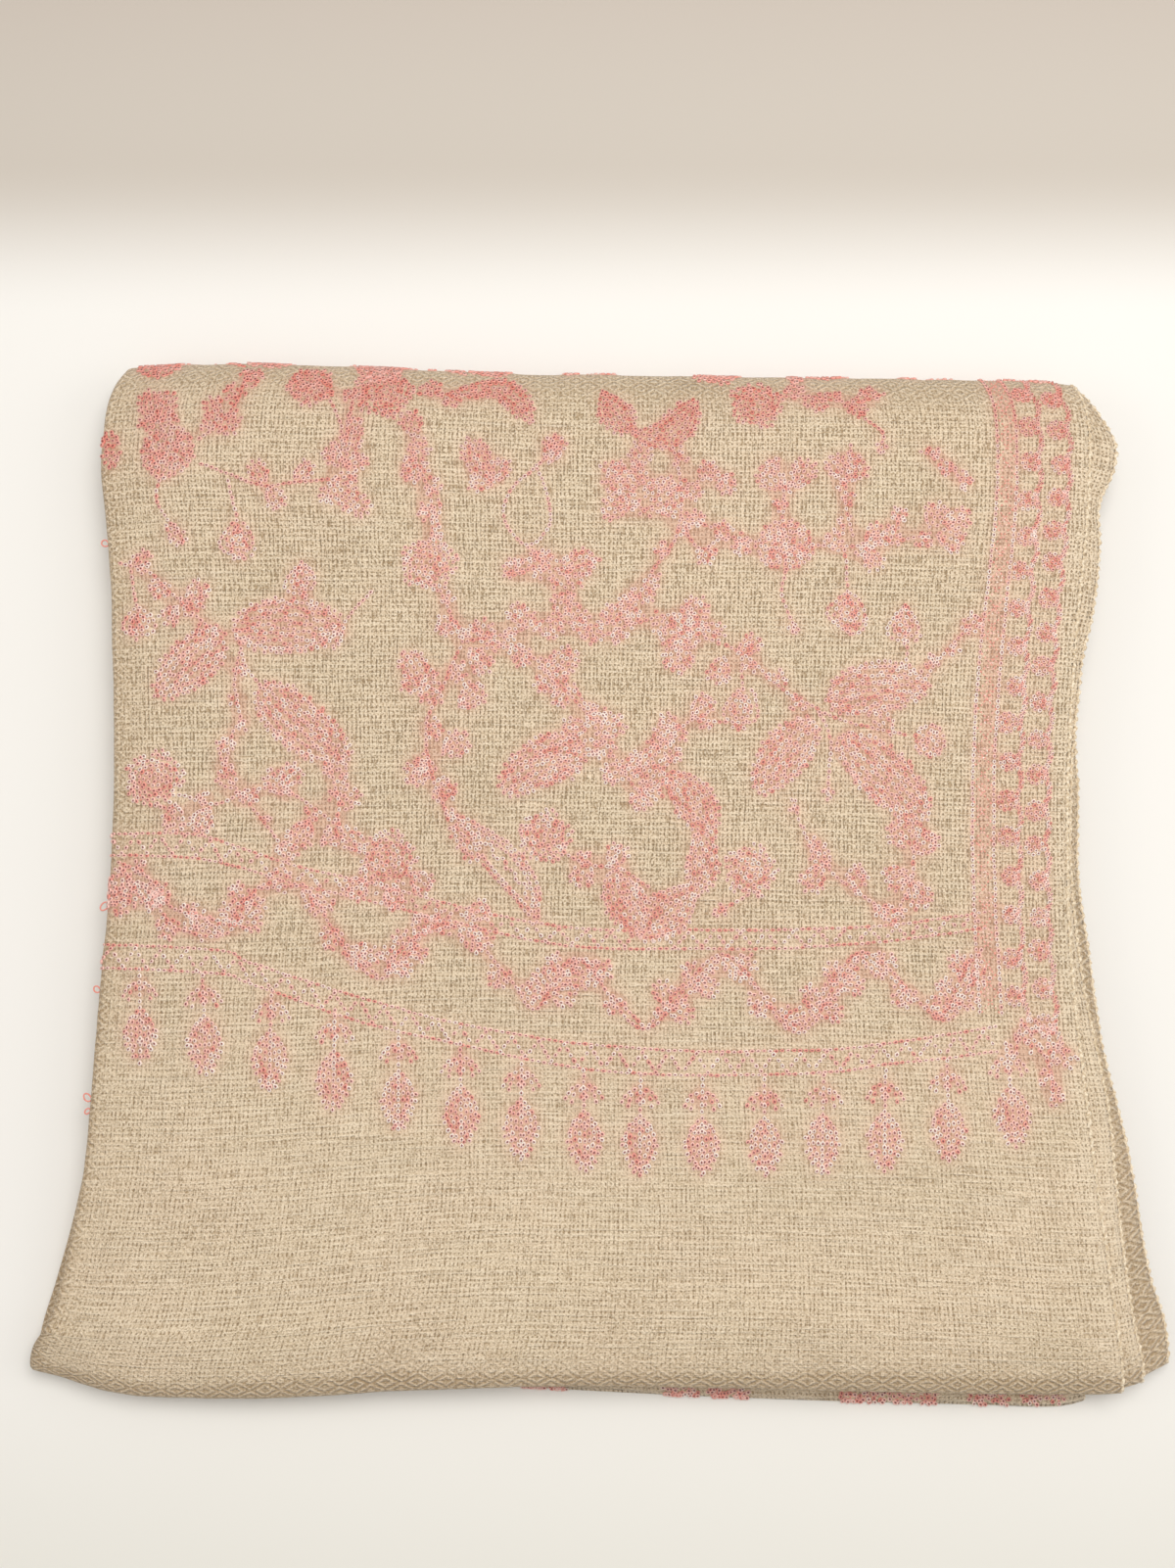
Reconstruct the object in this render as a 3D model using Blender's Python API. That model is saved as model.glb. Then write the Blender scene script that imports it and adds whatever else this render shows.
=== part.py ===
"""A pashmina shawl, 1.0 m by 2.0 m, folded to a square pack of eight plies that lies flat.

The shawl is doubled along its length, so one long side of the pack is a fold (left, -X) and the
other shows the selvedges (right, +X). It is then folded twice across: the outer fold wraps the back
(+Y) from top to underside, the front (-Y) has a fold above and the shawl's free ends below.

Every ply is a wall of even thickness. Its place is worked out on one family of nested paths: a path
runs from under the front fold, over the top and round the back fold to the floor, and a ply at a
greater depth follows the same path closer in. Units are metres, +Z is up, and the origin is under
the middle of the pack on the surface that it rests on.
"""

import math

import bmesh
import bpy

MM = 0.001

# Driving sizes of the cloth
WALL = 1.6 * MM
SEAM_GAP = 0.35 * MM
STACK_GAP = 0.6 * MM
PLY_STEP = WALL + STACK_GAP
CORE_CLEARANCE = 0.9 * MM

# Height of the pack along its depth
HEIGHT_ALONG = (
    # depth_y, height
    (-258.0, 28.0),
    (-205.0, 29.5),
    (-110.0, 32.5),
    (20.0, 35.0),
    (140.0, 35.5),
    (225.0, 34.5),
    (262.0, 34.0),
)
LEFT_DROP = 6.0 * MM
LEFT_DROP_REACH = 62.0 * MM
RIGHT_DROP = 3.0 * MM
RIGHT_DROP_REACH = 95.0 * MM
EAR_DROP = 7.5 * MM
EAR_REACH = 75.0 * MM
EAR_CENTRE = (-274.0 * MM, -240.0 * MM)
LOWEST_STACK = 17.0 * MM
SWELLS = (
    # height_mm, turn_per_mm_x, turn_per_mm_y, phase
    (0.6, 0.0213, 0.0164, 0.6),
    (0.5, 0.0160, -0.0205, 1.4),
    (0.4, 0.0360, 0.0162, 2.0),
)

TOP_ACROSS_STEPS = 19
NOMINAL_RIGHT = 246.0 * MM
NOMINAL_WIDTH = 494.0 * MM

# Outline of the top ply, seen from above
TOP_OUTLINE = (
    # depth_y, left_x, right_x
    (-262.0, -278.0, 252.0),
    (-240.0, -275.5, 250.4),
    (-217.0, -266.5, 247.6),
    (-188.0, -259.5, 244.4),
    (-150.0, -252.6, 239.9),
    (-108.0, -249.4, 235.6),
    (-62.0, -246.6, 232.2),
    (-15.0, -243.6, 231.0),
    (40.0, -242.2, 232.6),
    (90.0, -244.6, 236.5),
    (135.0, -247.0, 241.2),
    (175.0, -251.6, 246.6),
    (205.0, -255.6, 249.4),
    (232.0, -254.6, 249.6),
    (248.0, -251.6, 246.0),
    (263.0, -246.0, 241.0),
)
FRONT_AND_BACK = (
    # across_x, front_y, back_y
    (-278.0, -243.5, 259.5),
    (-262.0, -247.5, 261.5),
    (-240.0, -253.4, 262.8),
    (-212.0, -256.6, 263.1),
    (-160.0, -256.4, 262.0),
    (-100.0, -253.4, 259.6),
    (-40.0, -251.4, 257.4),
    (40.0, -251.6, 256.2),
    (120.0, -253.2, 255.4),
    (190.0, -254.8, 254.0),
    (235.0, -255.2, 253.2),
    (256.0, -253.6, 250.0),
    (278.0, -246.0, 246.0),
)
# The plies whose selvedges stand out beyond the top one
SELVEDGES = (
    # depth_y, second_x, third_x
    (-260.0, 262.5, 275.0),
    (-244.0, 262.0, 277.0),
    (-228.0, 258.6, 275.2),
    (-205.0, 255.2, 268.6),
    (-180.0, 252.8, 264.6),
    (-150.0, 250.6, 260.8),
    (-118.0, 248.6, 254.6),
    (-90.0, 243.4, 247.6),
    (-55.0, 237.4, 243.6),
    (-5.0, 233.6, 238.4),
    (45.0, 235.2, 239.2),
    (80.0, 239.0, 236.0),
    (105.0, 242.6, 234.0),
    (130.0, 249.0, 235.0),
    (160.0, 253.2, 238.0),
    (185.0, 254.2, 242.0),
    (207.0, 263.2, 245.0),
    (222.0, 264.2, 246.0),
    (236.0, 256.6, 244.0),
    (250.0, 247.8, 240.0),
    (264.0, 243.0, 237.0),
)
SELVEDGE_STEPS = 7
SECOND_WIDTH = 52.0 * MM
THIRD_WIDTH = 44.0 * MM
SECOND_UNDER = -66.0
THIRD_UNDER = -30.0
DROOP_SLOPE = 0.28
THIRD_DROOP_SLOPE = 0.28

# Front and back folds
QUARTER = 90.0
UNDER_STEPS = 3
TURN_STEPS = 6
TOP_STEPS = 14
FOOT_STEPS = 4
FOLD_BOTTOM_SHARE = 0.34
FOLD_NOSE_SHARE = 0.62
FRONT_ROUNDING = 1.20
UNDER_REACH_SHARE = 0.32
FRONT_LIP = 4.0 * MM
BACK_NOSE_SHARE = 0.52
BACK_ROUNDING = 34.0 * MM
BACK_UNDER_REACH = 15.0 * MM
BACK_LIP = 7.0 * MM

# Left fold of the top pair of plies, and of the lowest pair
TOP_TURN_RADIUS = 3.2 * MM
LOW_TURN_RADIUS = 2.7 * MM
TURN_LIP = 5.0 * MM
LEAST_AXIS_SHARE = 0.88

# The lowest ply: its left fold peeks out in front, its embroidered end below the front fold
BOTTOM_OUTLINE = (
    # depth_y, left_x, right_x
    (-262.5, -262.0, 236.0),
    (-250.0, -275.0, 239.5),
    (-230.0, -275.0, 240.0),
    (-205.0, -268.6, 239.0),
    (-175.0, -261.4, 238.0),
    (-140.0, -254.8, 236.5),
    (-110.0, -249.0, 235.0),
    (-60.0, -245.6, 233.0),
    (0.0, -241.8, 232.0),
    (80.0, -242.4, 234.0),
    (150.0, -247.2, 239.0),
    (210.0, -252.0, 243.0),
    (264.0, -248.0, 240.0),
)
BOTTOM_STEPS = 22
BOTTOM_ACROSS_STEPS = 10
BOTTOM_FRONT = (
    # across_x, front_y
    (-278.0, -236.0),
    (-240.0, -240.0),
    (-150.0, -248.0),
    (-70.0, -252.0),
    (-6.0, -255.6),
    (42.0, -257.9),
    (90.0, -259.7),
    (138.0, -261.1),
    (186.0, -262.2),
    (226.0, -262.9),
    (242.0, -259.0),
)

# The hidden plies between them: rows of rounded edges
CORE_STEPS = 15
CORE_LEFT_LOBES = 2
CORE_RIGHT_RIDGES = 5
LOBE_DEPTH = 2.6 * MM
FULL_GROOVE_HEIGHT = 20.0 * MM
RIDGE_DEPTH = 2.4 * MM
CORE_LEFT_INSET = 1.0 * MM
CORE_CORNER_INSET = 14.0 * MM
CORE_FRONT_CORNER_INSET = 32.0 * MM
CORE_RIGHT_INSET = 3.0 * MM
CORE_FAN_INSET = 6.5 * MM
CORE_FRONT_INSET = 6.0 * MM
CORE_END_ROUNDING = 0.25
CORE_END_LENGTH = 4.0 * MM
CORE_RISE = 3.0 * MM
CORE_FOOT_RISE = 0.5
BACK_COVER = 6.9 * MM
LIP_CLEARANCE = 7.0 * MM
COVER_RAMP = 12.0 * MM

# Finishes: colour, roughness
SAND_WOOL = ((0.671, 0.527, 0.361, 1.0), 0.85)
SAND_WOOL_SHADE = ((0.610, 0.479, 0.328, 1.0), 0.88)


def smooth(value):
    """Ease a share from 0 to 1, level at both ends."""
    share = min(1.0, max(0.0, value))
    return share * share * (3.0 - 2.0 * share)


def eased(share):
    """Spread even shares so that they lie closer together near 0 and 1."""
    return 0.5 - 0.5 * math.cos(math.pi * share)


def read_row(table, where, column):
    """Read a column of a table of millimetres at a place, on a smooth curve through its rows."""
    place = where / MM
    last = len(table) - 1
    if place <= table[0][0]:
        return table[0][column] * MM
    if place >= table[last][0]:
        return table[last][column] * MM
    row = max(i for i in range(last) if table[i][0] <= place)
    low, high = table[row], table[row + 1]
    before = table[max(row - 1, 0)]
    after = table[min(row + 2, last)]
    span = high[0] - low[0]
    slope_low = (high[column] - before[column]) / (high[0] - before[0])
    slope_high = (after[column] - low[column]) / (after[0] - low[0])
    t = (place - low[0]) / span
    value = (
        (2 * t**3 - 3 * t**2 + 1) * low[column]
        + (t**3 - 2 * t**2 + t) * span * slope_low
        + (3 * t**2 - 2 * t**3) * high[column]
        + (t**3 - t**2) * span * slope_high
    )
    return value * MM


def top_left(y):
    return read_row(TOP_OUTLINE, y, 1)


def top_right(y):
    return read_row(TOP_OUTLINE, y, 2)


def front_line(x):
    return read_row(FRONT_AND_BACK, x, 1)


def back_line(x):
    return read_row(FRONT_AND_BACK, x, 2)


def stack_height(x, y):
    """Height of the pack's top: a low crown that falls to its sides and to the pinched front left corner."""
    height = read_row(HEIGHT_ALONG, y, 1)
    from_left = x - top_left(y)
    from_right = top_right(y) - x
    height -= LEFT_DROP * smooth(1.0 - from_left / LEFT_DROP_REACH) ** 1.5
    height -= RIGHT_DROP * smooth(1.0 - from_right / RIGHT_DROP_REACH)
    away = math.hypot(x - EAR_CENTRE[0], y - EAR_CENTRE[1])
    height -= EAR_DROP * math.exp(-((away / EAR_REACH) ** 2))
    for swell, along_x, along_y, phase in SWELLS:
        height += swell * MM * math.sin((x * along_x + y * along_y) / MM + phase)
    return max(height, LOWEST_STACK)


def second_droop(x, y):
    """How far the second ply sinks where it stands out beyond the top one."""
    return DROOP_SLOPE * max(0.0, x - top_right(y) - SEAM_GAP)


def third_droop(x, y):
    """The third ply sinks with the second, and further where it stands out beyond that one too."""
    return second_droop(x, y) + THIRD_DROOP_SLOPE * max(0.0, x - read_row(SELVEDGES, y, 1) - SEAM_GAP)


def path_stations(under_from, lips):
    """List where a nested path is read: (zone, share), from under the front fold to the floor at the back."""
    stations = [("front_lip", 1.0)] if lips else []
    stations += [("front_turn", under_from * i / UNDER_STEPS) for i in range(UNDER_STEPS, 0, -1)]
    stations += [("front_turn", QUARTER * i / TURN_STEPS) for i in range(TURN_STEPS)]
    stations += [("top", i / TOP_STEPS) for i in range(TOP_STEPS + 1)]
    stations += [("back_turn", QUARTER - QUARTER * i / TURN_STEPS) for i in range(1, TURN_STEPS + 1)]
    stations += [("back_turn", -QUARTER * i / FOOT_STEPS) for i in range(1, FOOT_STEPS + 1)]
    if lips:
        stations.append(("floor", 1.0))
    return stations


def front_sizes(x):
    """Sizes of the front fold at this place across: upper reach, nose level, bottom level, lower reach."""
    height = stack_height(x, front_line(x))
    return (
        FRONT_ROUNDING * height,
        FOLD_NOSE_SHARE * height,
        FOLD_BOTTOM_SHARE * height,
        UNDER_REACH_SHARE * height,
    )


def path_point(x, station, depth):
    """Place of a point on the nested path at this depth below the outer surface: (y, z)."""
    zone, share = station
    front, back = front_line(x), back_line(x)
    reach, nose, fold_bottom, under_reach = front_sizes(x)
    under_depth = depth * min(1.0, LEAST_AXIS_SHARE * (nose - fold_bottom) / (2 * TOP_TURN_RADIUS))
    back_nose = BACK_NOSE_SHARE * stack_height(x, back)
    turn = math.radians(share)
    if zone == "front_lip":
        return front + under_reach + FRONT_LIP * share, fold_bottom + under_depth
    if zone == "front_turn" and share < 0.0:
        y = front + under_reach - (under_reach - under_depth) * math.cos(turn)
        return y, nose + (nose - fold_bottom - under_depth) * math.sin(turn)
    if zone == "front_turn":
        y = front + reach - (reach - depth) * math.cos(turn)
        return y, nose + (stack_height(x, y) - nose - depth) * math.sin(turn)
    if zone == "top":
        y = front + reach + share * (back - BACK_ROUNDING - front - reach)
        return y, stack_height(x, y) - depth
    if zone == "back_turn" and share >= 0.0:
        y = back - BACK_ROUNDING + (BACK_ROUNDING - depth) * math.cos(turn)
        return y, back_nose + (stack_height(x, y) - back_nose - depth) * math.sin(turn)
    if zone == "back_turn":
        y = back - BACK_UNDER_REACH + (BACK_UNDER_REACH - depth) * math.cos(turn)
        return y, back_nose + (back_nose - depth) * math.sin(turn)
    return back - BACK_UNDER_REACH - BACK_LIP * share, depth


def drooped(x, y, z, droop):
    """Lower a point in the share that its ply sinks there."""
    return z * (1.0 - droop(x, y) / stack_height(x, y))


def new_object(name, points, faces, finish, collection):
    """Make a closed, smooth-shaded object with its own material from points and faces."""
    mesh = bpy.data.meshes.new(name)
    mesh.from_pydata(points, [], faces)
    shell = bmesh.new()
    shell.from_mesh(mesh)
    bmesh.ops.triangulate(shell, faces=[face for face in shell.faces if len(face.verts) > 4])
    if shell.calc_volume(signed=True) < 0.0:
        bmesh.ops.reverse_faces(shell, faces=shell.faces)
    shell.to_mesh(mesh)
    shell.free()
    mesh.shade_smooth()
    mesh.set_sharp_from_angle(angle=math.radians(55.0))
    material = bpy.data.materials.new(name + "_finish")
    material.use_nodes = True
    colour, roughness = finish
    shader = material.node_tree.nodes["Principled BSDF"]
    shader.inputs["Base Color"].default_value = colour
    shader.inputs["Roughness"].default_value = roughness
    shader.inputs["Metallic"].default_value = 0.0
    material.diffuse_color = colour
    mesh.materials.append(material)
    thing = bpy.data.objects.new(name, mesh)
    collection.objects.link(thing)
    return thing


def wall_between(name, outer, inner, finish, collection):
    """Close the wall between two grids of the same size, the ply's outer and inner surface."""
    rows, columns = len(outer), len(outer[0])
    points = [point for row in outer for point in row]
    offset = len(points)
    points += [point for row in inner for point in row]
    faces = []

    def at(row, column):
        return row * columns + column

    for row in range(rows - 1):
        for column in range(columns - 1):
            quad = (at(row, column), at(row, column + 1), at(row + 1, column + 1), at(row + 1, column))
            faces.append(quad)
            faces.append(tuple(offset + corner for corner in reversed(quad)))
    border = [at(0, column) for column in range(columns)]
    border += [at(row, columns - 1) for row in range(1, rows)]
    border += [at(rows - 1, column) for column in range(columns - 2, -1, -1)]
    border += [at(row, 0) for row in range(rows - 2, 0, -1)]
    for place, corner in enumerate(border):
        following = border[(place + 1) % len(border)]
        faces.append((following, corner, offset + corner, offset + following))
    return new_object(name, points, faces, finish, collection)


def left_turn(radius):
    """Cross-section of a fold's turn, outer then inner: (inward x, depth) pairs that follow the face."""
    middle = radius
    inner_radius = radius - WALL
    outer, inner = [], []
    for step in range(1, TURN_STEPS + 1):
        angle = math.pi * step / TURN_STEPS
        outer.append((-radius * math.sin(angle), middle - radius * math.cos(angle)))
        inner.append((-inner_radius * math.sin(angle), middle - inner_radius * math.cos(angle)))
    outer.append((TURN_LIP, 2 * radius))
    inner.append((TURN_LIP, 2 * radius - WALL))
    return outer, inner


def shares_across(steps):
    """Shares from the right selvedge to the left fold, closer together near both sides."""
    return [eased(i / steps) for i in range(steps + 1)]


def make_top_stretch(collection):
    """The top ply: front fold, face, left fold and the whole back fold down to the floor."""
    turn_outer, turn_inner = left_turn(TOP_TURN_RADIUS)
    outer, inner = [], []
    for station in path_stations(-QUARTER, lips=True):
        outer_row, inner_row = [], []
        for share in shares_across(TOP_ACROSS_STEPS):
            nominal = NOMINAL_RIGHT - share * NOMINAL_WIDTH
            y = path_point(nominal, station, 0.0)[0]
            left = top_left(y) + TOP_TURN_RADIUS
            x = top_right(y) + share * (left - top_right(y))
            outer_row.append((x, *path_point(x, station, 0.0)))
            inner_row.append((x, *path_point(x, station, WALL)))
        for inward, depth in turn_outer:
            outer_row.append((left + inward, *path_point(left, station, depth)))
        for inward, depth in turn_inner:
            inner_row.append((left + inward, *path_point(left, station, depth)))
        outer.append(outer_row)
        inner.append(inner_row)
    return wall_between("top_stretch", outer, inner, SAND_WOOL, collection)


def make_selvedge_ply(name, order, width, droop, under_from, collection):
    """The strip of a ply along its selvedge at the right, from the front fold to the floor at the back."""
    depth = order * PLY_STEP
    outer, inner = [], []
    for station in path_stations(under_from, lips=False):
        outer_row, inner_row = [], []
        for step in range(SELVEDGE_STEPS + 1):
            share = step / SELVEDGE_STEPS
            y = path_point(NOMINAL_RIGHT, station, depth)[0]
            edge = read_row(SELVEDGES, y, order)
            x = edge - share * (edge - top_right(y) + width)
            y, z = path_point(x, station, depth)
            inner_y, inner_z = path_point(x, station, depth + WALL)
            low = drooped(x, y, z, droop)
            outer_row.append((x, y, low))
            inner_row.append((x, inner_y, low + inner_z - z))
        outer.append(outer_row)
        inner.append(inner_row)
    return wall_between(name, outer, inner, SAND_WOOL, collection)


def make_bottom_stretch(collection):
    """The lowest ply: flat on the floor, its left fold turned up, its free end out below the front fold."""
    turn_outer, turn_inner = left_turn(LOW_TURN_RADIUS)
    outer, inner = [], []
    for row in range(BOTTOM_STEPS + 1):
        along = row / BOTTOM_STEPS
        outer_row, inner_row = [], []
        for share in shares_across(BOTTOM_ACROSS_STEPS):
            nominal = NOMINAL_RIGHT - share * NOMINAL_WIDTH
            y = bottom_depth(nominal, along)
            left = read_row(BOTTOM_OUTLINE, y, 1) + LOW_TURN_RADIUS
            right = read_row(BOTTOM_OUTLINE, y, 2)
            x = right + share * (left - right)
            outer_row.append((x, bottom_depth(x, along), 0.0))
            inner_row.append((x, bottom_depth(x, along), WALL))
        for inward, depth in turn_outer:
            outer_row.append((left + inward, bottom_depth(left, along), depth))
        for inward, depth in turn_inner:
            inner_row.append((left + inward, bottom_depth(left, along), depth))
        outer.append(outer_row)
        inner.append(inner_row)
    return wall_between("bottom_stretch", outer, inner, SAND_WOOL_SHADE, collection)


def bottom_depth(x, along):
    """Depth of a point of the lowest ply, from its free end in front to the foot of the back fold."""
    front = read_row(BOTTOM_FRONT, x, 1)
    foot = back_line(x) - BACK_UNDER_REACH - BACK_LIP - SEAM_GAP
    return front + along * (foot - front)


def core_stations():
    """Where the hidden plies are read from front to back: (zone, share)."""
    stations = [("ends", 0.0), ("ends", 0.3), ("ends", 1.0), ("rise", 0.0)]
    stations += [("top", i / TOP_STEPS) for i in range(TOP_STEPS + 1)]
    stations += [("back_turn", QUARTER - QUARTER * i / TURN_STEPS) for i in range(1, TURN_STEPS)]
    return stations


def core_cover(x, y):
    """Depth of the plies that cover the hidden ones at a place, with the clearance to them."""
    cover = WALL + CORE_CLEARANCE
    left_cover = 2 * TOP_TURN_RADIUS + CORE_CLEARANCE
    right_cover = 3 * PLY_STEP + CORE_CLEARANCE
    from_left = x - top_left(y) - TOP_TURN_RADIUS - TURN_LIP - LIP_CLEARANCE
    from_right = top_right(y) - x - SECOND_WIDTH - LIP_CLEARANCE
    cover += (left_cover - cover) * smooth(1.0 - from_left / COVER_RAMP)
    return cover + (right_cover - cover) * smooth(1.0 - from_right / COVER_RAMP)


def core_foot(x, y):
    """Lowest level of the hidden plies at a place: over the lowest ply and its turned-up left fold."""
    foot = PLY_STEP
    from_left = x - read_row(BOTTOM_OUTLINE, y, 1) - LOW_TURN_RADIUS - TURN_LIP - LIP_CLEARANCE
    raised = 2 * LOW_TURN_RADIUS + CORE_CLEARANCE
    return foot + (raised - foot) * smooth(1.0 - from_left / COVER_RAMP)


def core_place(x, station):
    """Where the hidden plies lie at this place across the pack: depth y, lowest level and highest level."""
    zone, share = station
    front, back = front_line(x), back_line(x)
    reach, nose, fold_bottom, under_reach = front_sizes(x)
    lip_end = front + under_reach + FRONT_LIP
    if zone == "ends":
        start = min(max(front, read_row(BOTTOM_FRONT, x, 1)) + CORE_FRONT_INSET, lip_end - CORE_END_LENGTH)
        y = start + share * (lip_end + SEAM_GAP - start)
        low = core_foot(x, y)
        high = drooped(x, y, fold_bottom - CORE_CLEARANCE, third_droop)
        rounding = CORE_END_ROUNDING * (high - low) if share == 0.0 else 0.0
        return y, low + rounding, high - rounding
    if zone in ("rise", "top"):
        y = lip_end + CORE_RISE if zone == "rise" else path_point(x, station, 0.0)[0]
        cover = core_cover(x, y)
        across = max(0.0, (front + reach - y) / (reach - cover))
        high = nose + (stack_height(x, y) - nose - cover) * math.sqrt(1.0 - across * across)
        return y, core_foot(x, y), drooped(x, y, high, third_droop)
    turn = math.radians(share)
    y = back - BACK_ROUNDING + (BACK_ROUNDING - BACK_COVER) * math.cos(turn)
    back_nose = BACK_NOSE_SHARE * stack_height(x, back)
    high = back_nose + (stack_height(x, y) - back_nose - BACK_COVER) * math.sin(turn)
    past_foot = (y - (back - BACK_UNDER_REACH)) / (BACK_UNDER_REACH - BACK_COVER)
    if past_foot < -CORE_FOOT_RISE:
        return y, core_foot(x, y), high
    low = back_nose - (back_nose - BACK_COVER) * math.sqrt(1.0 - max(0.0, past_foot) ** 2)
    return y, low, high


def core_side(x_tip, x_foot_tip, station, rows, groove):
    """Edges of the hidden plies on one side, from the top down: rows of tips with grooves between."""
    points = []
    _, foot, high = core_place(x_tip, station)
    groove *= min(1.0, (high - foot) / FULL_GROOVE_HEIGHT)
    for step in range(2 * rows + 1):
        share = step / (2 * rows)
        tip = x_tip + (x_foot_tip - x_tip) * share
        x = tip if step % 2 else tip + groove
        y, low, _ = core_place(tip, station)
        points.append((x, y, high + (low - high) * share))
    return points


def core_left_inset(station):
    """How far inside the left fold the hidden plies start: well inside at the pack's corners."""
    zone, share = station
    if zone in ("ends", "rise"):
        return CORE_FRONT_CORNER_INSET
    if zone == "back_turn" or share == 0.0:
        return CORE_CORNER_INSET
    return CORE_LEFT_INSET


def make_hidden_layers(collection):
    """The plies inside the pack: one rounded solid, its folds in rows on the left, its edges on the right."""
    rings = []
    for station in core_stations():
        y = core_place(0.0, station)[0]
        left = max(top_left(y), read_row(BOTTOM_OUTLINE, y, 1)) + core_left_inset(station)
        upper_right = max(top_right(y) - CORE_RIGHT_INSET, read_row(SELVEDGES, y, 2) - CORE_FAN_INSET)
        lower_right = read_row(BOTTOM_OUTLINE, y, 2) - CORE_RIGHT_INSET
        ring = []
        for step in range(CORE_STEPS + 1):
            x = left + eased(step / CORE_STEPS) * (upper_right - left)
            place, _, high = core_place(x, station)
            ring.append((x, place, high))
        ring.pop()
        ring += core_side(upper_right, lower_right, station, CORE_RIGHT_RIDGES, -RIDGE_DEPTH)
        for step in range(1, CORE_STEPS):
            x = lower_right + eased(step / CORE_STEPS) * (left - lower_right)
            place, low, _ = core_place(x, station)
            ring.append((x, place, low))
        lobes = core_side(left, left, station, CORE_LEFT_LOBES, LOBE_DEPTH)
        ring += reversed(lobes[1:])
        rings.append(ring)
    points = [point for ring in rings for point in ring]
    size = len(rings[0])
    faces = []
    for row in range(len(rings) - 1):
        for corner in range(size):
            after = (corner + 1) % size
            first, second = row * size, (row + 1) * size
            faces.append((first + corner, first + after, second + after, second + corner))
    faces.append(tuple(reversed(range(size))))
    faces.append(tuple(range((len(rings) - 1) * size, len(rings) * size)))
    return new_object("hidden_layers", points, faces, SAND_WOOL_SHADE, collection)


def main():
    for thing in list(bpy.data.objects):
        bpy.data.objects.remove(thing, do_unlink=True)
    shawl = bpy.data.collections.new("pashmina_shawl")
    bpy.context.scene.collection.children.link(shawl)
    make_top_stretch(shawl)
    make_selvedge_ply("second_ply", 1, SECOND_WIDTH, second_droop, SECOND_UNDER, shawl)
    make_selvedge_ply("third_ply", 2, THIRD_WIDTH, third_droop, THIRD_UNDER, shawl)
    make_hidden_layers(shawl)
    make_bottom_stretch(shawl)


if __name__ == "__main__":
    main()
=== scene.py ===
"""A folded pashmina shawl, dressed for looking at: soft plies, embroidery in silk chain stitch, selvedges.

The shawl is 1.0 m by 2.0 m. It is doubled along its length, so the left side (-X) shows folds and the
right side (+X) selvedges, and then folded twice across, so the back (+Y) shows the outer fold and the
front (-Y) a fold above and the shawl's two free ends below. Lengths in tables are millimetres, all
others metres. +Z is up, and the origin lies under the middle of the pack.
"""

from __future__ import annotations

import logging
import math
from dataclasses import dataclass, field, replace
from enum import Enum
from typing import Iterable, Sequence

import bmesh
import bpy
import numpy as np
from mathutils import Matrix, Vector

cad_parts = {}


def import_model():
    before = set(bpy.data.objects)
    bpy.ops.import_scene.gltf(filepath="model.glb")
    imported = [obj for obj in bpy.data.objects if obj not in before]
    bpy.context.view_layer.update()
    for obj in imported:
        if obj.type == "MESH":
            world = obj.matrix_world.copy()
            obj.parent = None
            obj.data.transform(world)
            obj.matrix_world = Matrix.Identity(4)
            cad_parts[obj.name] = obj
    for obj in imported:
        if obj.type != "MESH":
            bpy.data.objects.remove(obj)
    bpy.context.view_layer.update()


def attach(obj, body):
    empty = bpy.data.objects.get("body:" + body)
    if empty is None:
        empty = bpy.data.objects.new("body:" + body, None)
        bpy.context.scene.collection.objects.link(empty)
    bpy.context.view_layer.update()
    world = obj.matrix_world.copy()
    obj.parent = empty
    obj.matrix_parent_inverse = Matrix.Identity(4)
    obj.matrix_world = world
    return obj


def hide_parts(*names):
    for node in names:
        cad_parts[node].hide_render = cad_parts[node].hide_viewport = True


MM = 0.001
LOG = logging.getLogger("shawl")


class Zone(Enum):
    """Stretches of the path that every ply follows, from under the front fold to the floor behind."""

    FRONT_LIP = "front_lip"
    FRONT_TURN = "front_turn"
    TOP = "top"
    BACK_TURN = "back_turn"
    FLOOR = "floor"


@dataclass(frozen=True)
class Station:
    """A place along the path: the zone, and the share of it or the angle of the turn in degrees."""

    zone: Zone
    share: float


class Rows:
    """A table of millimetres that is read on a smooth curve through its rows."""

    def __init__(self, *rows: tuple[float, ...]) -> None:
        """Keep the rows, whose first column is the place.

        Args:
            rows: One tuple for each row, in rising order of the place.
        """
        self.rows = np.array(rows, float)

    def read(self, where: np.ndarray | float, column: int) -> np.ndarray:
        """Read one column at places in metres.

        Args:
            where: The places.
            column: The column to read.

        Returns:
            The values in metres, held level beyond the table's ends.
        """
        place = self.rows[:, 0]
        value = self.rows[:, column]
        slope = np.empty_like(value)
        slope[1:-1] = (value[2:] - value[:-2]) / (place[2:] - place[:-2])
        slope[0] = (value[1] - value[0]) / (place[1] - place[0])
        slope[-1] = (value[-1] - value[-2]) / (place[-1] - place[-2])
        at = np.clip(np.asarray(where, float) / MM, place[0], place[-1])
        row = np.clip(np.searchsorted(place, at, side="right") - 1, 0, len(place) - 2)
        span = place[row + 1] - place[row]
        t = (at - place[row]) / span
        return MM * (
            (2 * t**3 - 3 * t**2 + 1) * value[row]
            + (t**3 - 2 * t**2 + t) * span * slope[row]
            + (3 * t**2 - 2 * t**3) * value[row + 1]
            + (t**3 - t**2) * span * slope[row + 1]
        )


def smooth(value: np.ndarray | float) -> np.ndarray:
    """Ease shares from 0 to 1, level at both ends."""
    share = np.clip(value, 0.0, 1.0)
    return share * share * (3.0 - 2.0 * share)


def unit(vectors: np.ndarray) -> np.ndarray:
    """Directions of length one."""
    return vectors / np.maximum(np.linalg.norm(vectors, axis=-1, keepdims=True), 1e-12)


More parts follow.
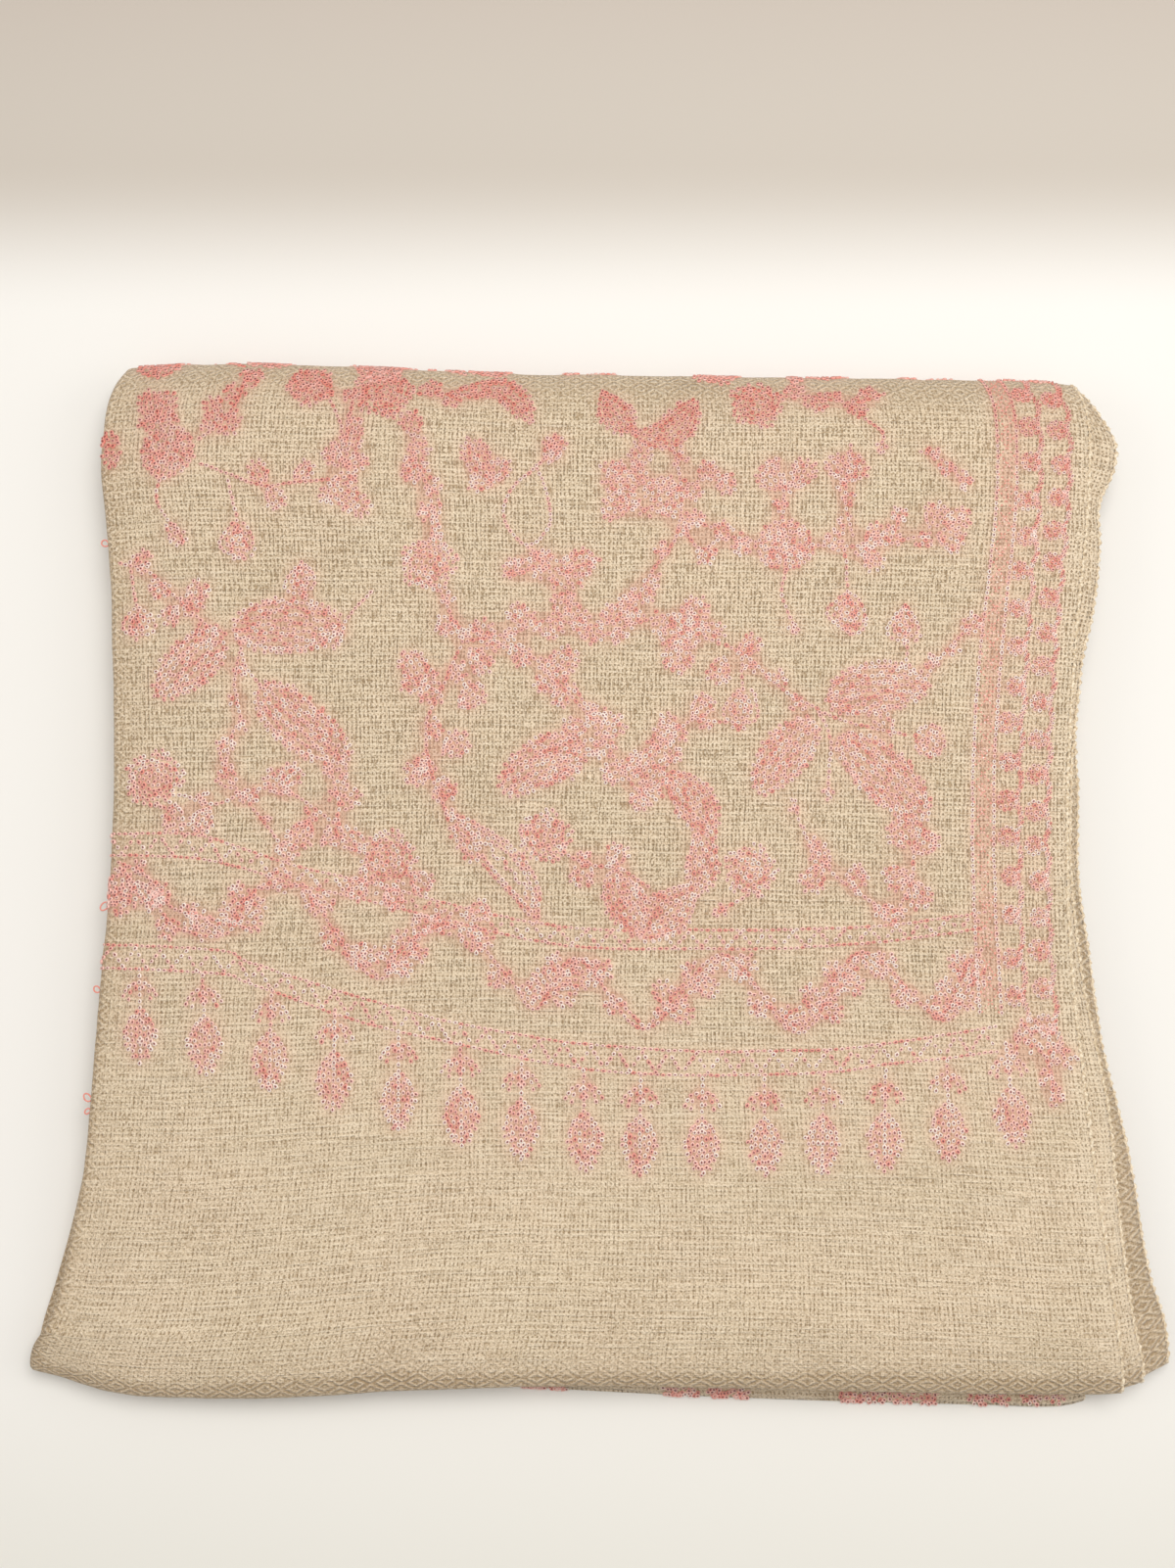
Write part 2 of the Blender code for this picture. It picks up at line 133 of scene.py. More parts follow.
def length_of(line: np.ndarray) -> float:
    """Whole length of a line."""
    return float(np.linalg.norm(np.diff(line, axis=0), axis=1).sum())


def run_along(line: np.ndarray) -> np.ndarray:
    """Distance along a line at each of its points."""
    return np.concatenate([[0.0], np.cumsum(np.linalg.norm(np.diff(line, axis=0), axis=1))])


def read_along(line: np.ndarray, run: np.ndarray, at: np.ndarray) -> np.ndarray:
    """Places of a line at these distances along it."""
    return np.stack([np.interp(at, run, column) for column in line.T], axis=1)


def section(*parts: tuple[np.ndarray, np.ndarray, np.ndarray]) -> np.ndarray:
    """Join stretches of a cross-section, each given as its x, y and z, into one row of places."""
    return np.concatenate([np.stack(part, axis=1) for part in parts])


class SoftNoise:
    """Repeatable smooth noise between -1 and 1 on the flat cloth."""

    def __init__(self, seed: int, size: int = 64) -> None:
        """Fill the lattice.

        Args:
            seed: The number that fixes the noise.
            size: How many lattice points lie along each side before it repeats.
        """
        self.size = size
        self.lattice = np.random.default_rng(seed).uniform(-1.0, 1.0, (size, size))

    def at(self, x: np.ndarray, y: np.ndarray) -> np.ndarray:
        """Read the noise at places in lattice steps."""
        column, row = np.floor(x), np.floor(y)
        across, along = smooth(x - column), smooth(y - row)
        c = column.astype(int) % self.size
        r = row.astype(int) % self.size
        c1, r1 = (c + 1) % self.size, (r + 1) % self.size
        low = self.lattice[r, c] * (1 - across) + self.lattice[r, c1] * across
        high = self.lattice[r1, c] * (1 - across) + self.lattice[r1, c1] * across
        return low * (1 - along) + high * along


@dataclass(frozen=True)
class Crease:
    """A soft trough or ridge pressed in the cloth: its two ends, half width and height, in millimetres."""

    from_x: float
    from_y: float
    to_x: float
    to_y: float
    half_width: float
    height: float

    def relief(self, x: np.ndarray, y: np.ndarray) -> np.ndarray:
        """Height that the crease adds at places of the flat cloth, all in millimetres."""
        run_x, run_y = self.to_x - self.from_x, self.to_y - self.from_y
        length = math.hypot(run_x, run_y)
        along = ((x - self.from_x) * run_x + (y - self.from_y) * run_y) / length
        aside = ((y - self.from_y) * run_x - (x - self.from_x) * run_y) / length
        aside = aside + 0.05 * length * np.sin(2.6 * along / length + self.half_width)
        ends = smooth(along / (0.3 * length)) * smooth((length - along) / (0.3 * length))
        return self.height * ends * np.exp(-((aside / self.half_width) ** 2))


@dataclass
class PackForm:
    """The pack's outlines, heights and nested paths."""

    height_along: Rows = Rows(
        # depth_y, height
        (-258, 28), (-205, 29.5), (-110, 32.5), (20, 35), (140, 35.5), (225, 34.5),
        (262, 34),
    )
    top_outline: Rows = Rows(
        # depth_y, left_x, right_x
        (-262, -278, 252), (-240, -275.5, 250.4), (-217, -266.5, 247.6), (-188, -259.5, 244.4),
        (-150, -252.6, 239.9), (-108, -249.4, 235.6), (-62, -246.6, 232.2), (-15, -243.6, 231),
        (40, -242.2, 232.6), (90, -244.6, 236.5), (135, -247, 241.2), (175, -251.6, 246.6),
        (205, -255.6, 249.4), (232, -254.6, 249.6), (248, -251.6, 246), (263, -246, 241),
    )
    front_and_back: Rows = Rows(
        # across_x, front_y, back_y
        (-278, -243.5, 259.5), (-262, -247.5, 261.5), (-240, -253.4, 262.8), (-212, -256.6, 263.1),
        (-160, -256.4, 262), (-100, -253.4, 259.6), (-40, -251.4, 257.4), (40, -251.6, 256.2),
        (120, -253.2, 255.4), (190, -254.8, 254), (235, -255.2, 253.2), (256, -253.6, 250),
        (278, -246, 246),
    )
    selvedges: Rows = Rows(
        # depth_y, second_x, third_x
        (-260, 262.5, 275), (-244, 262, 277), (-228, 258.6, 275.2), (-205, 255.2, 268.6),
        (-180, 252.8, 264.6), (-150, 250.6, 260.8), (-118, 248.6, 254.6), (-90, 243.4, 247.6),
        (-55, 237.4, 243.6), (-5, 233.6, 238.4), (45, 235.2, 239.2), (80, 239, 236),
        (105, 242.6, 234), (130, 249, 235), (160, 253.2, 238), (185, 254.2, 242),
        (207, 263.2, 245), (222, 264.2, 246), (236, 256.6, 244), (250, 247.8, 240),
        (264, 243, 237),
    )
    bottom_outline: Rows = Rows(
        # depth_y, left_x, right_x
        (-262.5, -262, 236), (-250, -275, 239.5), (-230, -275, 240), (-205, -268.6, 239),
        (-175, -261.4, 238), (-140, -254.8, 236.5), (-110, -249, 235), (-60, -245.6, 233),
        (0, -241.8, 232), (80, -242.4, 234), (150, -247.2, 239), (210, -252, 243),
        (264, -248, 240),
    )
    bottom_front: Rows = Rows(
        # across_x, front_y
        (-278, -236), (-240, -240), (-150, -248), (-70, -252), (-6, -255.6), (42, -257.9),
        (90, -259.7), (138, -261.1), (186, -262.2), (226, -262.9), (242, -259),
    )
    swells: tuple[tuple[float, float, float, float], ...] = (
        # height_mm, turn_per_mm_x, turn_per_mm_y, phase
        (0.6, 0.0213, 0.0164, 0.6), (0.5, 0.0160, -0.0205, 1.4), (0.4, 0.0360, 0.0162, 2.0),
    )
    left_drop: float = 6.0 * MM
    left_drop_reach: float = 62.0 * MM
    right_drop: float = 3.0 * MM
    right_drop_reach: float = 95.0 * MM
    ear_drop: float = 7.5 * MM
    ear_reach: float = 75.0 * MM
    ear_x: float = -274.0 * MM
    ear_y: float = -240.0 * MM
    lowest_stack: float = 17.0 * MM
    nominal_right: float = 246.0 * MM
    nominal_width: float = 494.0 * MM
    ply_step: float = 2.2 * MM
    solid_wall: float = 1.6 * MM
    seam_gap: float = 0.35 * MM
    clearance: float = 0.9 * MM
    droop_slope: float = 0.28
    fold_bottom_share: float = 0.34
    fold_nose_share: float = 0.62
    front_rounding: float = 1.20
    under_reach_share: float = 0.32
    front_lip: float = 4.0 * MM
    back_nose_share: float = 0.52
    back_rounding: float = 34.0 * MM
    back_under_reach: float = 15.0 * MM
    back_lip: float = 7.0 * MM
    back_cover: float = 6.9 * MM
    top_turn_radius: float = 3.2 * MM
    low_turn_radius: float = 2.7 * MM
    turn_lip: float = 5.0 * MM
    least_axis_share: float = 0.88
    second_width: float = 52.0 * MM
    lip_clearance: float = 7.0 * MM
    cover_ramp: float = 12.0 * MM
    under_run: float = 15.0 * MM
    front_run: float = 38.0 * MM
    top_run: float = 452.0 * MM
    back_run: float = 41.0 * MM
    heel_run: float = 25.0 * MM

    def top_left(self, y: np.ndarray) -> np.ndarray:
        """Left edge of the top ply at these depths."""
        return self.top_outline.read(y, 1)

    def top_right(self, y: np.ndarray) -> np.ndarray:
        """Right edge of the top ply at these depths."""
        return self.top_outline.read(y, 2)

    def front(self, x: np.ndarray) -> np.ndarray:
        """Depth of the front fold's foremost line."""
        return self.front_and_back.read(x, 1)

    def back(self, x: np.ndarray) -> np.ndarray:
        """Depth of the back fold's rearmost line."""
        return self.front_and_back.read(x, 2)

    def height(self, x: np.ndarray, y: np.ndarray) -> np.ndarray:
        """Height of the pack's top, a low crown that falls to its sides and its pinched front left corner.

        Args:
            x: Places across.
            y: Places along the depth.

        Returns:
            The heights.
        """
        height = self.height_along.read(y, 1)
        from_left = x - self.top_left(y)
        from_right = self.top_right(y) - x
        height = height - self.left_drop * smooth(1.0 - from_left / self.left_drop_reach) ** 1.5
        height = height - self.right_drop * smooth(1.0 - from_right / self.right_drop_reach)
        away = np.hypot(x - self.ear_x, y - self.ear_y)
        height = height - self.ear_drop * np.exp(-((away / self.ear_reach) ** 2))
        for swell, along_x, along_y, phase in self.swells:
            height = height + swell * MM * np.sin((x * along_x + y * along_y) / MM + phase)
        return np.maximum(height, self.lowest_stack)

    def second_droop(self, x: np.ndarray, y: np.ndarray) -> np.ndarray:
        """How far the second ply sinks where it stands out beyond the top one."""
        return self.droop_slope * np.maximum(0.0, x - self.top_right(y) - self.seam_gap)

    def third_droop(self, x: np.ndarray, y: np.ndarray) -> np.ndarray:
        """How far the third ply sinks beyond the top and the second one."""
        beyond = np.maximum(0.0, x - self.selvedges.read(y, 1) - self.seam_gap)
        return self.second_droop(x, y) + self.droop_slope * beyond

    def front_sizes(self, x: np.ndarray) -> tuple[np.ndarray, np.ndarray, np.ndarray, np.ndarray]:
        """Front fold's upper reach, nose level, bottom level and lower reach."""
        height = self.height(x, self.front(x))
        return (
            self.front_rounding * height,
            self.fold_nose_share * height,
            self.fold_bottom_share * height,
            self.under_reach_share * height,
        )

    def path(self, x: np.ndarray, station: Station, depth: np.ndarray | float) -> tuple[np.ndarray, np.ndarray]:
        """Places on the nested paths.

        Args:
            x: Places across.
            station: Where along the path.
            depth: How far below the outer surface.

        Returns:
            The depths y and the heights z.
        """
        front, back = self.front(x), self.back(x)
        reach, nose, fold_bottom, under_reach = self.front_sizes(x)
        axis_share = self.least_axis_share * (nose - fold_bottom) / (2 * self.top_turn_radius)
        under_depth = depth * np.minimum(1.0, axis_share)
        back_nose = self.back_nose_share * self.height(x, back)
        turn = math.radians(station.share)
        if station.zone is Zone.FRONT_LIP:
            return front + under_reach + self.front_lip * station.share, fold_bottom + under_depth
        if station.zone is Zone.FRONT_TURN and station.share < 0.0:
            y = front + under_reach - (under_reach - under_depth) * math.cos(turn)
            return y, nose + (nose - fold_bottom - under_depth) * math.sin(turn)
        if station.zone is Zone.FRONT_TURN:
            y = front + reach - (reach - depth) * math.cos(turn)
            return y, nose + (self.height(x, y) - nose - depth) * math.sin(turn)
        if station.zone is Zone.TOP:
            y = front + reach + station.share * (back - self.back_rounding - front - reach)
            return y, self.height(x, y) - depth
        if station.zone is Zone.BACK_TURN and station.share >= 0.0:
            y = back - self.back_rounding + (self.back_rounding - depth) * math.cos(turn)
            return y, back_nose + (self.height(x, y) - back_nose - depth) * math.sin(turn)
        if station.zone is Zone.BACK_TURN:
            y = back - self.back_under_reach + (self.back_under_reach - depth) * math.cos(turn)
            return y, back_nose + (back_nose - depth) * math.sin(turn)
        return back - self.back_under_reach - self.back_lip * station.share, depth + 0.0 * x

    def stations(self, under_from: float, step: float, lips: bool) -> list[Station]:
        """Where the nested paths are read for a mesh.

        Args:
            under_from: Angle under the front fold where the ply starts, in degrees.
            step: Wanted spacing along the path.
            lips: Whether the ply has its lips under the front fold and on the floor.

        Returns:
            The stations from the front to the back.
        """
        found: list[Station] = []
        if lips:
            found += [Station(Zone.FRONT_LIP, 1.0), Station(Zone.FRONT_LIP, 0.5)]
        count = max(2, round(self.under_run * abs(under_from) / 90.0 / step))
        found += [Station(Zone.FRONT_TURN, under_from * i / count) for i in range(count, 0, -1)]
        count = round(self.front_run / step)
        found += [Station(Zone.FRONT_TURN, 90.0 * i / count) for i in range(count)]
        count = round(self.top_run / step)
        found += [Station(Zone.TOP, i / count) for i in range(count + 1)]
        count = round(self.back_run / step)
        found += [Station(Zone.BACK_TURN, 90.0 - 90.0 * i / count) for i in range(1, count + 1)]
        count = round(self.heel_run / step)
        found += [Station(Zone.BACK_TURN, -90.0 * i / count) for i in range(1, count + 1)]
        if lips:
            found += [Station(Zone.FLOOR, 0.5), Station(Zone.FLOOR, 1.0)]
        return found

    def core_cover(self, x: np.ndarray, y: np.ndarray) -> np.ndarray:
        """Depth of the plies that cover the inner ones, with the clearance to them."""
        cover = self.solid_wall + self.clearance
        left_cover = 2 * self.top_turn_radius + self.clearance
        right_cover = 3 * self.ply_step + self.clearance
        edge = self.turn_lip + self.lip_clearance
        from_left = x - self.top_left(y) - self.top_turn_radius - edge
        from_right = self.top_right(y) - x - self.second_width - self.lip_clearance
        depth = cover + (left_cover - cover) * smooth(1.0 - from_left / self.cover_ramp)
        return depth + (right_cover - depth) * smooth(1.0 - from_right / self.cover_ramp)

    def core_foot(self, x: np.ndarray, y: np.ndarray) -> np.ndarray:
        """Lowest level of the inner plies, over the lowest ply and its turned-up left fold."""
        edge = self.low_turn_radius + self.turn_lip + self.lip_clearance
        from_left = x - self.bottom_outline.read(y, 1) - edge
        raised = 2 * self.low_turn_radius + self.clearance
        return self.ply_step + (raised - self.ply_step) * smooth(1.0 - from_left / self.cover_ramp)


@dataclass
class Relief:
    """Everything that stands out of the flat cloth or sinks into it: long folds, crinkle, creases, puckers."""

    creases: tuple[Crease, ...] = ()
    crumple: float = 0.34
    crinkle: float = 0.13
    pucker: float = 0.55
    seed: int = 3
    cell: float = 3.0
    density: np.ndarray | None = None
    origin: tuple[float, float] = (0.0, 0.0)

    def sew_in(self, points: np.ndarray) -> None:
        """Note where stitches draw the cloth in.

        Args:
            points: Stitched places on the flat cloth, in millimetres.
        """
        low = points.min(axis=0) - 6 * self.cell
        size = np.ceil((points.max(axis=0) + 6 * self.cell - low) / self.cell).astype(int)
        count, _, _ = np.histogram2d(
            points[:, 0],
            points[:, 1],
            bins=size,
            range=[[low[0], low[0] + size[0] * self.cell], [low[1], low[1] + size[1] * self.cell]],
        )
        for _ in range(2):
            count = (count + np.roll(count, 1, 0) + np.roll(count, -1, 0)) / 3.0
            count = (count + np.roll(count, 1, 1) + np.roll(count, -1, 1)) / 3.0
        self.density = np.minimum(1.0, count / 2.2)
        self.origin = (float(low[0]), float(low[1]))

    def stitched(self, x: np.ndarray, y: np.ndarray) -> np.ndarray:
        """Share of the cloth that stitches cover at places in millimetres, from 0 to 1."""
        if self.density is None:
            return np.zeros_like(x)
        column = np.clip((x - self.origin[0]) / self.cell - 0.5, 0.0, self.density.shape[0] - 1.01)
        row = np.clip((y - self.origin[1]) / self.cell - 0.5, 0.0, self.density.shape[1] - 1.01)
        c, r = np.floor(column).astype(int), np.floor(row).astype(int)
        along, up = column - c, row - r
        low = self.density[c, r] * (1 - along) + self.density[c + 1, r] * along
        high = self.density[c, r + 1] * (1 - along) + self.density[c + 1, r + 1] * along
        return low * (1 - up) + high * up

    def at(self, x: np.ndarray, y: np.ndarray) -> np.ndarray:
        """Read the relief.

        Args:
            x: Places across the flat cloth, in millimetres.
            y: Places along it, in millimetres.

        Returns:
            Heights in metres.
        """
        broad, fine, ripple = SoftNoise(self.seed), SoftNoise(self.seed + 1), SoftNoise(self.seed + 2)
        height = self.crumple * broad.at(x / 34.0 + 7.0, y / 41.0)
        height = height + 0.6 * self.crumple * fine.at(x / 15.0, y / 19.0 + 3.0)
        height = height + self.crinkle * ripple.at(x / 5.6, y / 17.0) + self.crinkle * fine.at(x / 21.0, y / 6.2)
        sewn = self.stitched(x, y)
        edge = 4.0 * sewn * (1.0 - sewn)
        height = height + self.pucker * (0.35 * sewn + 0.75 * edge * ripple.at(x / 7.5 + 5.0, y / 7.5))
        for crease in self.creases:
            height = height + crease.relief(x, y)
        return height * MM


class ClothSheet:
    """One ply as a grid of places: rows run along it and columns across, right selvedge first."""

    LEVEL_ENOUGH = 0.92
    FOLD_SPREAD = 30

    def __init__(
        self,
        outer: np.ndarray,
        across: np.ndarray,
        face_columns: int,
        facing: float = 1.0,
        wall: float = 1.1 * MM,
    ) -> None:
        """Take the bare grid.

        Args:
            outer: Places of the outer surface, rows by columns by three.
            across: Distance of each column from the right selvedge on the flat cloth, in metres.
            face_columns: How many columns lie on the face, before the left fold's turn.
            facing: 1 where rows cross columns outwards, -1 where they cross inwards.
            wall: The cloth's thickness.
        """
        self.bare = outer
        self.outer = outer.copy()
        self.across = across
        self.face_columns = face_columns
        self.facing = facing
        self.wall = wall
        steps = np.linalg.norm(np.diff(outer, axis=0), axis=2)
        self.along = np.vstack([np.zeros(outer.shape[1]), np.cumsum(steps, axis=0)])
        middle = outer.shape[0] // 2
        self.along += (outer[middle, :, 1] - self.along[middle])[None, :]
        self.normals = self.find_normals(outer)
        self.sewn = np.zeros(self.along.shape)
        self.levels = np.arange(self.along.min(), self.along.max(), MM)
        self.row_table = np.stack(
            [
                np.interp(self.levels, self.along[:, column], np.arange(len(outer)))
                for column in range(outer.shape[1])
            ]
        )

    def find_normals(self, grid: np.ndarray) -> np.ndarray:
        """Outward directions at the grid's places."""
        along = np.gradient(grid, axis=0)
        across = np.gradient(grid, axis=1)
        return unit(np.cross(along, across) * self.facing)

    def press(self, relief: Relief, edge_calm: float = 0.0) -> None:
        """Give the sheet its relief.

        Args:
            relief: The relief to press in.
            edge_calm: Width of the calm strip along the grid's four sides, in metres.
        """
        x = np.broadcast_to(self.bare[:, :, 0], self.along.shape).copy()
        beyond = self.across[self.face_columns - 1 :] - self.across[self.face_columns - 1]
        x[:, self.face_columns - 1 :] = self.bare[:, self.face_columns - 1, 0][:, None] - beyond[None, :]
        height = relief.at(x / MM, self.along / MM)
        self.sewn = relief.stitched(x / MM, self.along / MM)
        if edge_calm > 0.0:
            rows = np.minimum(self.along - self.along[0], self.along[-1] - self.along)
            columns = np.minimum(self.across, self.across[-1] - self.across)[None, :]
            height = height * smooth(np.minimum(rows, columns) / edge_calm)
        self.outer = self.bare + self.normals * height[:, :, None]

    def near_fold(self) -> np.ndarray:
        """Share of a fold at the grid's places: 1 on its turns, fading to 0 on the flat beside them."""
        turned = (np.abs(self.normals[:, :, 2]) < self.LEVEL_ENOUGH).astype(float)
        share = turned
        for _ in range(self.FOLD_SPREAD):
            wide = np.pad(share, 1, mode="edge")
            beside = wide[:-2, 1:-1] + wide[2:, 1:-1] + wide[1:-1, :-2] + wide[1:-1, 2:]
            share = np.maximum(turned, (beside + share) / 5.0)
        return share

    def blend(self, values: np.ndarray, row: np.ndarray, column: np.ndarray) -> np.ndarray:
        """Read a grid between its places."""
        row = np.clip(row, 0.0, values.shape[0] - 1.001)
        column = np.clip(column, 0.0, values.shape[1] - 1.001)
        r, c = np.floor(row).astype(int), np.floor(column).astype(int)
        down, over = row - r, column - c
        if values.ndim == 3:
            down, over = down[:, None], over[:, None]
        low = values[r, c] * (1 - over) + values[r, c + 1] * over
        high = values[r + 1, c] * (1 - over) + values[r + 1, c + 1] * over
        return low * (1 - down) + high * down

    def locate(self, x: np.ndarray, y: np.ndarray) -> tuple[np.ndarray, np.ndarray]:
        """Find places of the flat cloth on the grid.

        Args:
            x: Places across, in metres; left of the left fold they run on round its turn.
            y: Places along, in metres; past the back and front folds they run on round them.

        Returns:
            Rows and columns with their fractions.
        """
        last = self.face_columns - 1
        shares = self.across[: last + 1] / self.across[last]
        level = (y - self.levels[0]) / MM
        column = np.full_like(x, last / 2.0)
        row = np.zeros_like(x)
        counts = np.arange(self.bare.shape[0])
        for _ in range(4):
            row = self.blend(self.row_table, column, level)
            right = np.interp(row, counts, self.bare[:, 0, 0])
            left = np.interp(row, counts, self.bare[:, last, 0])
            share = (right - x) / (right - left)
            inside = np.interp(share, shares, np.arange(last + 1))
            beyond = np.interp(left - x, self.across[last:] - self.across[last], np.arange(last, len(self.across)))
            column = np.where(share <= 1.0, inside, beyond)
        return row, column

    def from_selvedge(self, distance: np.ndarray, y: np.ndarray) -> tuple[np.ndarray, np.ndarray]:
        """Find places given by their distance from the right selvedge."""
        column = np.interp(distance, self.across, np.arange(len(self.across)))
        row = self.blend(self.row_table, column, (y - self.levels[0]) / MM)
        return row, column

    def place(self, row: np.ndarray, column: np.ndarray) -> tuple[np.ndarray, np.ndarray]:
        """Places and outward directions on the pressed surface."""
        return self.blend(self.outer, row, column), unit(self.blend(self.find_normals(self.outer), row, column))

    def inner(self) -> np.ndarray:
        """Places of the inner surface, one wall below the outer one."""
        return self.outer - self.find_normals(self.outer) * self.wall

    def mesh(self, name: str, material: bpy.types.Material) -> bpy.types.Object:
        """Make the ply as a closed sheet with its flat cloth's coordinates as UVs, in metres.

        Args:
            name: The piece's name.
            material: Its finish.

        Returns:
            The new object.
        """
        rows, columns = self.along.shape
        points = np.concatenate([self.outer.reshape(-1, 3), self.inner().reshape(-1, 3)])
        index = np.arange(rows * columns).reshape(rows, columns)
        quads = np.stack([index[:-1, :-1], index[1:, :-1], index[1:, 1:], index[:-1, 1:]], axis=2).reshape(-1, 4)
        border = np.concatenate([index[0, :], index[1:, -1], index[-1, -2::-1], index[-2:0:-1, 0]])
        after = np.roll(border, -1)
        offset = rows * columns
        rim = np.stack([border, after, offset + after, offset + border], axis=1)
        faces = np.concatenate([quads, offset + quads[:, ::-1], rim])
        if self.facing < 0.0:
            faces = faces[:, ::-1]
        mesh = new_mesh(name, points.tolist(), faces=faces.tolist())
        flat = np.stack(np.broadcast_arrays(self.across[None, :], self.along[:, columns // 2][:, None]), axis=2)
        flat = np.concatenate([flat.reshape(-1, 2), flat.reshape(-1, 2)])
        layer = mesh.uv_layers.new(name="flat_cloth")
        corners = np.empty(len(mesh.loops), np.int32)
        mesh.loops.foreach_get("vertex_index", corners)
        layer.data.foreach_set("uv", flat[corners].astype(np.float32).ravel())
        for title, share in (("stitched", self.sewn), ("fold", self.near_fold())):
            carry(mesh, title, np.tile(share.ravel(), 2))
        return finish_mesh(name, mesh, material)


def new_mesh(name: str, points: Sequence, edges: Sequence = (), faces: Sequence = ()) -> bpy.types.Mesh:
    """Make a mesh of points and of edges or faces."""
    mesh = bpy.data.meshes.new(name)
    mesh.from_pydata(points, edges, faces)
    return mesh


def carry(mesh: bpy.types.Mesh, title: str, values: Sequence[float] | np.ndarray) -> None:
    """Let a mesh carry a number or a direction at each of its points."""
    kind, part = ("FLOAT_VECTOR", "vector") if np.ndim(values) == 2 else ("FLOAT", "value")
    mesh.attributes.new(title, kind, "POINT").data.foreach_set(part, np.asarray(values, np.float32).ravel())


def shown(name: str, data: bpy.types.ID) -> bpy.types.Object:
    """Make an object of a mesh, a light or a camera and show it."""
    thing = bpy.data.objects.new(name, data)
    bpy.context.scene.collection.objects.link(thing)
    return thing


def finish_mesh(name: str, mesh: bpy.types.Mesh, material: bpy.types.Material) -> bpy.types.Object:
    """Turn a closed mesh outwards, smooth it, dress it and show it.

    Args:
        name: The piece's name.
        mesh: Its mesh.
        material: Its finish.

    Returns:
        The new object.
    """
    shell = bmesh.new()
    shell.from_mesh(mesh)
    if shell.calc_volume(signed=True) < 0.0:
        bmesh.ops.reverse_faces(shell, faces=shell.faces)
    shell.to_mesh(mesh)
    shell.free()
    mesh.shade_smooth()
    mesh.materials.append(material)
    return shown(name, mesh)


def turn_section(radius: float, lip: float, step: float) -> tuple[np.ndarray, np.ndarray, np.ndarray]:
    """Cross-section of a fold that turns the cloth under itself.

    Args:
        radius: Radius of the turn.
        lip: How far the cloth runs on under itself.
        step: Wanted spacing.

    Returns:
        The inward shifts in x, the depths, and the distances along the cloth.
    """
    count = max(6, round(math.pi * radius / step))
    angle = np.pi * np.arange(1, count + 1) / count
    inward, depth = -radius * np.sin(angle), radius - radius * np.cos(angle)
    run = radius * angle
    flat_count = max(1, round(lip / step))
    extra = np.arange(1, flat_count + 1) / flat_count * lip
    return (
        np.concatenate([inward, extra]),
        np.concatenate([depth, np.full_like(extra, 2 * radius)]),
        np.concatenate([run, run[-1] + extra]),
    )


def even_shares(width: float, step: float) -> np.ndarray:
    """Even shares from 0 to 1 for a width and a spacing."""
    return np.linspace(0.0, 1.0, round(width / step) + 1)


@dataclass
class TopPly:
    """The top ply: front fold, embroidered face, left fold, and the back fold down to the floor."""

    form: PackForm
    step: float = 2.75 * MM

    def sheet(self) -> ClothSheet:
        """Lay the ply out on its path."""
        form = self.form
        shares = even_shares(form.nominal_width, self.step)
        inward, depths, run = turn_section(form.top_turn_radius, form.turn_lip, self.step)
        grid = []
        for station in form.stations(-90.0, self.step, lips=True):
            nominal = form.nominal_right - shares * form.nominal_width
            y, _ = form.path(nominal, station, 0.0)
            left = form.top_left(y) + form.top_turn_radius
            right = form.top_right(y)
            x = right + shares * (left - right)
            y, z = form.path(x, station, 0.0)
            edge = np.full_like(inward, x[-1])
            turn_y, turn_z = form.path(edge, station, depths)
            grid.append(section((x, y, z), (edge + inward, turn_y, turn_z)))
        across = np.concatenate([shares * form.nominal_width, form.nominal_width + run])
        return ClothSheet(np.array(grid), across, len(shares))


@dataclass
class SelvedgePly:
    """A strip of a ply along its selvedge at the right, from the front fold to the floor at the back."""

    form: PackForm
    order: int
    width: float
    under_from: float
    step: float = 3.2 * MM
    covered: float = 10.0 * MM

    def sheet(self) -> ClothSheet:
        """Lay the strip out on its nested path."""
        form = self.form
        depth = self.order * form.ply_step
        shares = even_shares(self.width + self.covered, self.step)
        grid = []
        for station in form.stations(self.under_from, self.step, lips=False):
            y_edge, _ = form.path(np.array([form.nominal_right]), station, depth)
            edge = form.selvedges.read(y_edge, self.order)
            x = edge - shares * (edge - form.top_right(y_edge) + self.width)
            y, z = form.path(x, station, depth)
            droop = form.second_droop(x, y) if self.order == 1 else form.third_droop(x, y)
            grid.append(np.stack([x, y, z * (1.0 - droop / form.height(x, y))], axis=1))
        across = shares * (self.width + self.covered)
        return ClothSheet(np.array(grid), across, len(shares))


class Level(Enum):
    """Which of the two inner folded sheets, given by the shares of height that its two plies keep."""

    UPPER = (1.0, 0.56)
    LOWER = (0.44, 0.0)


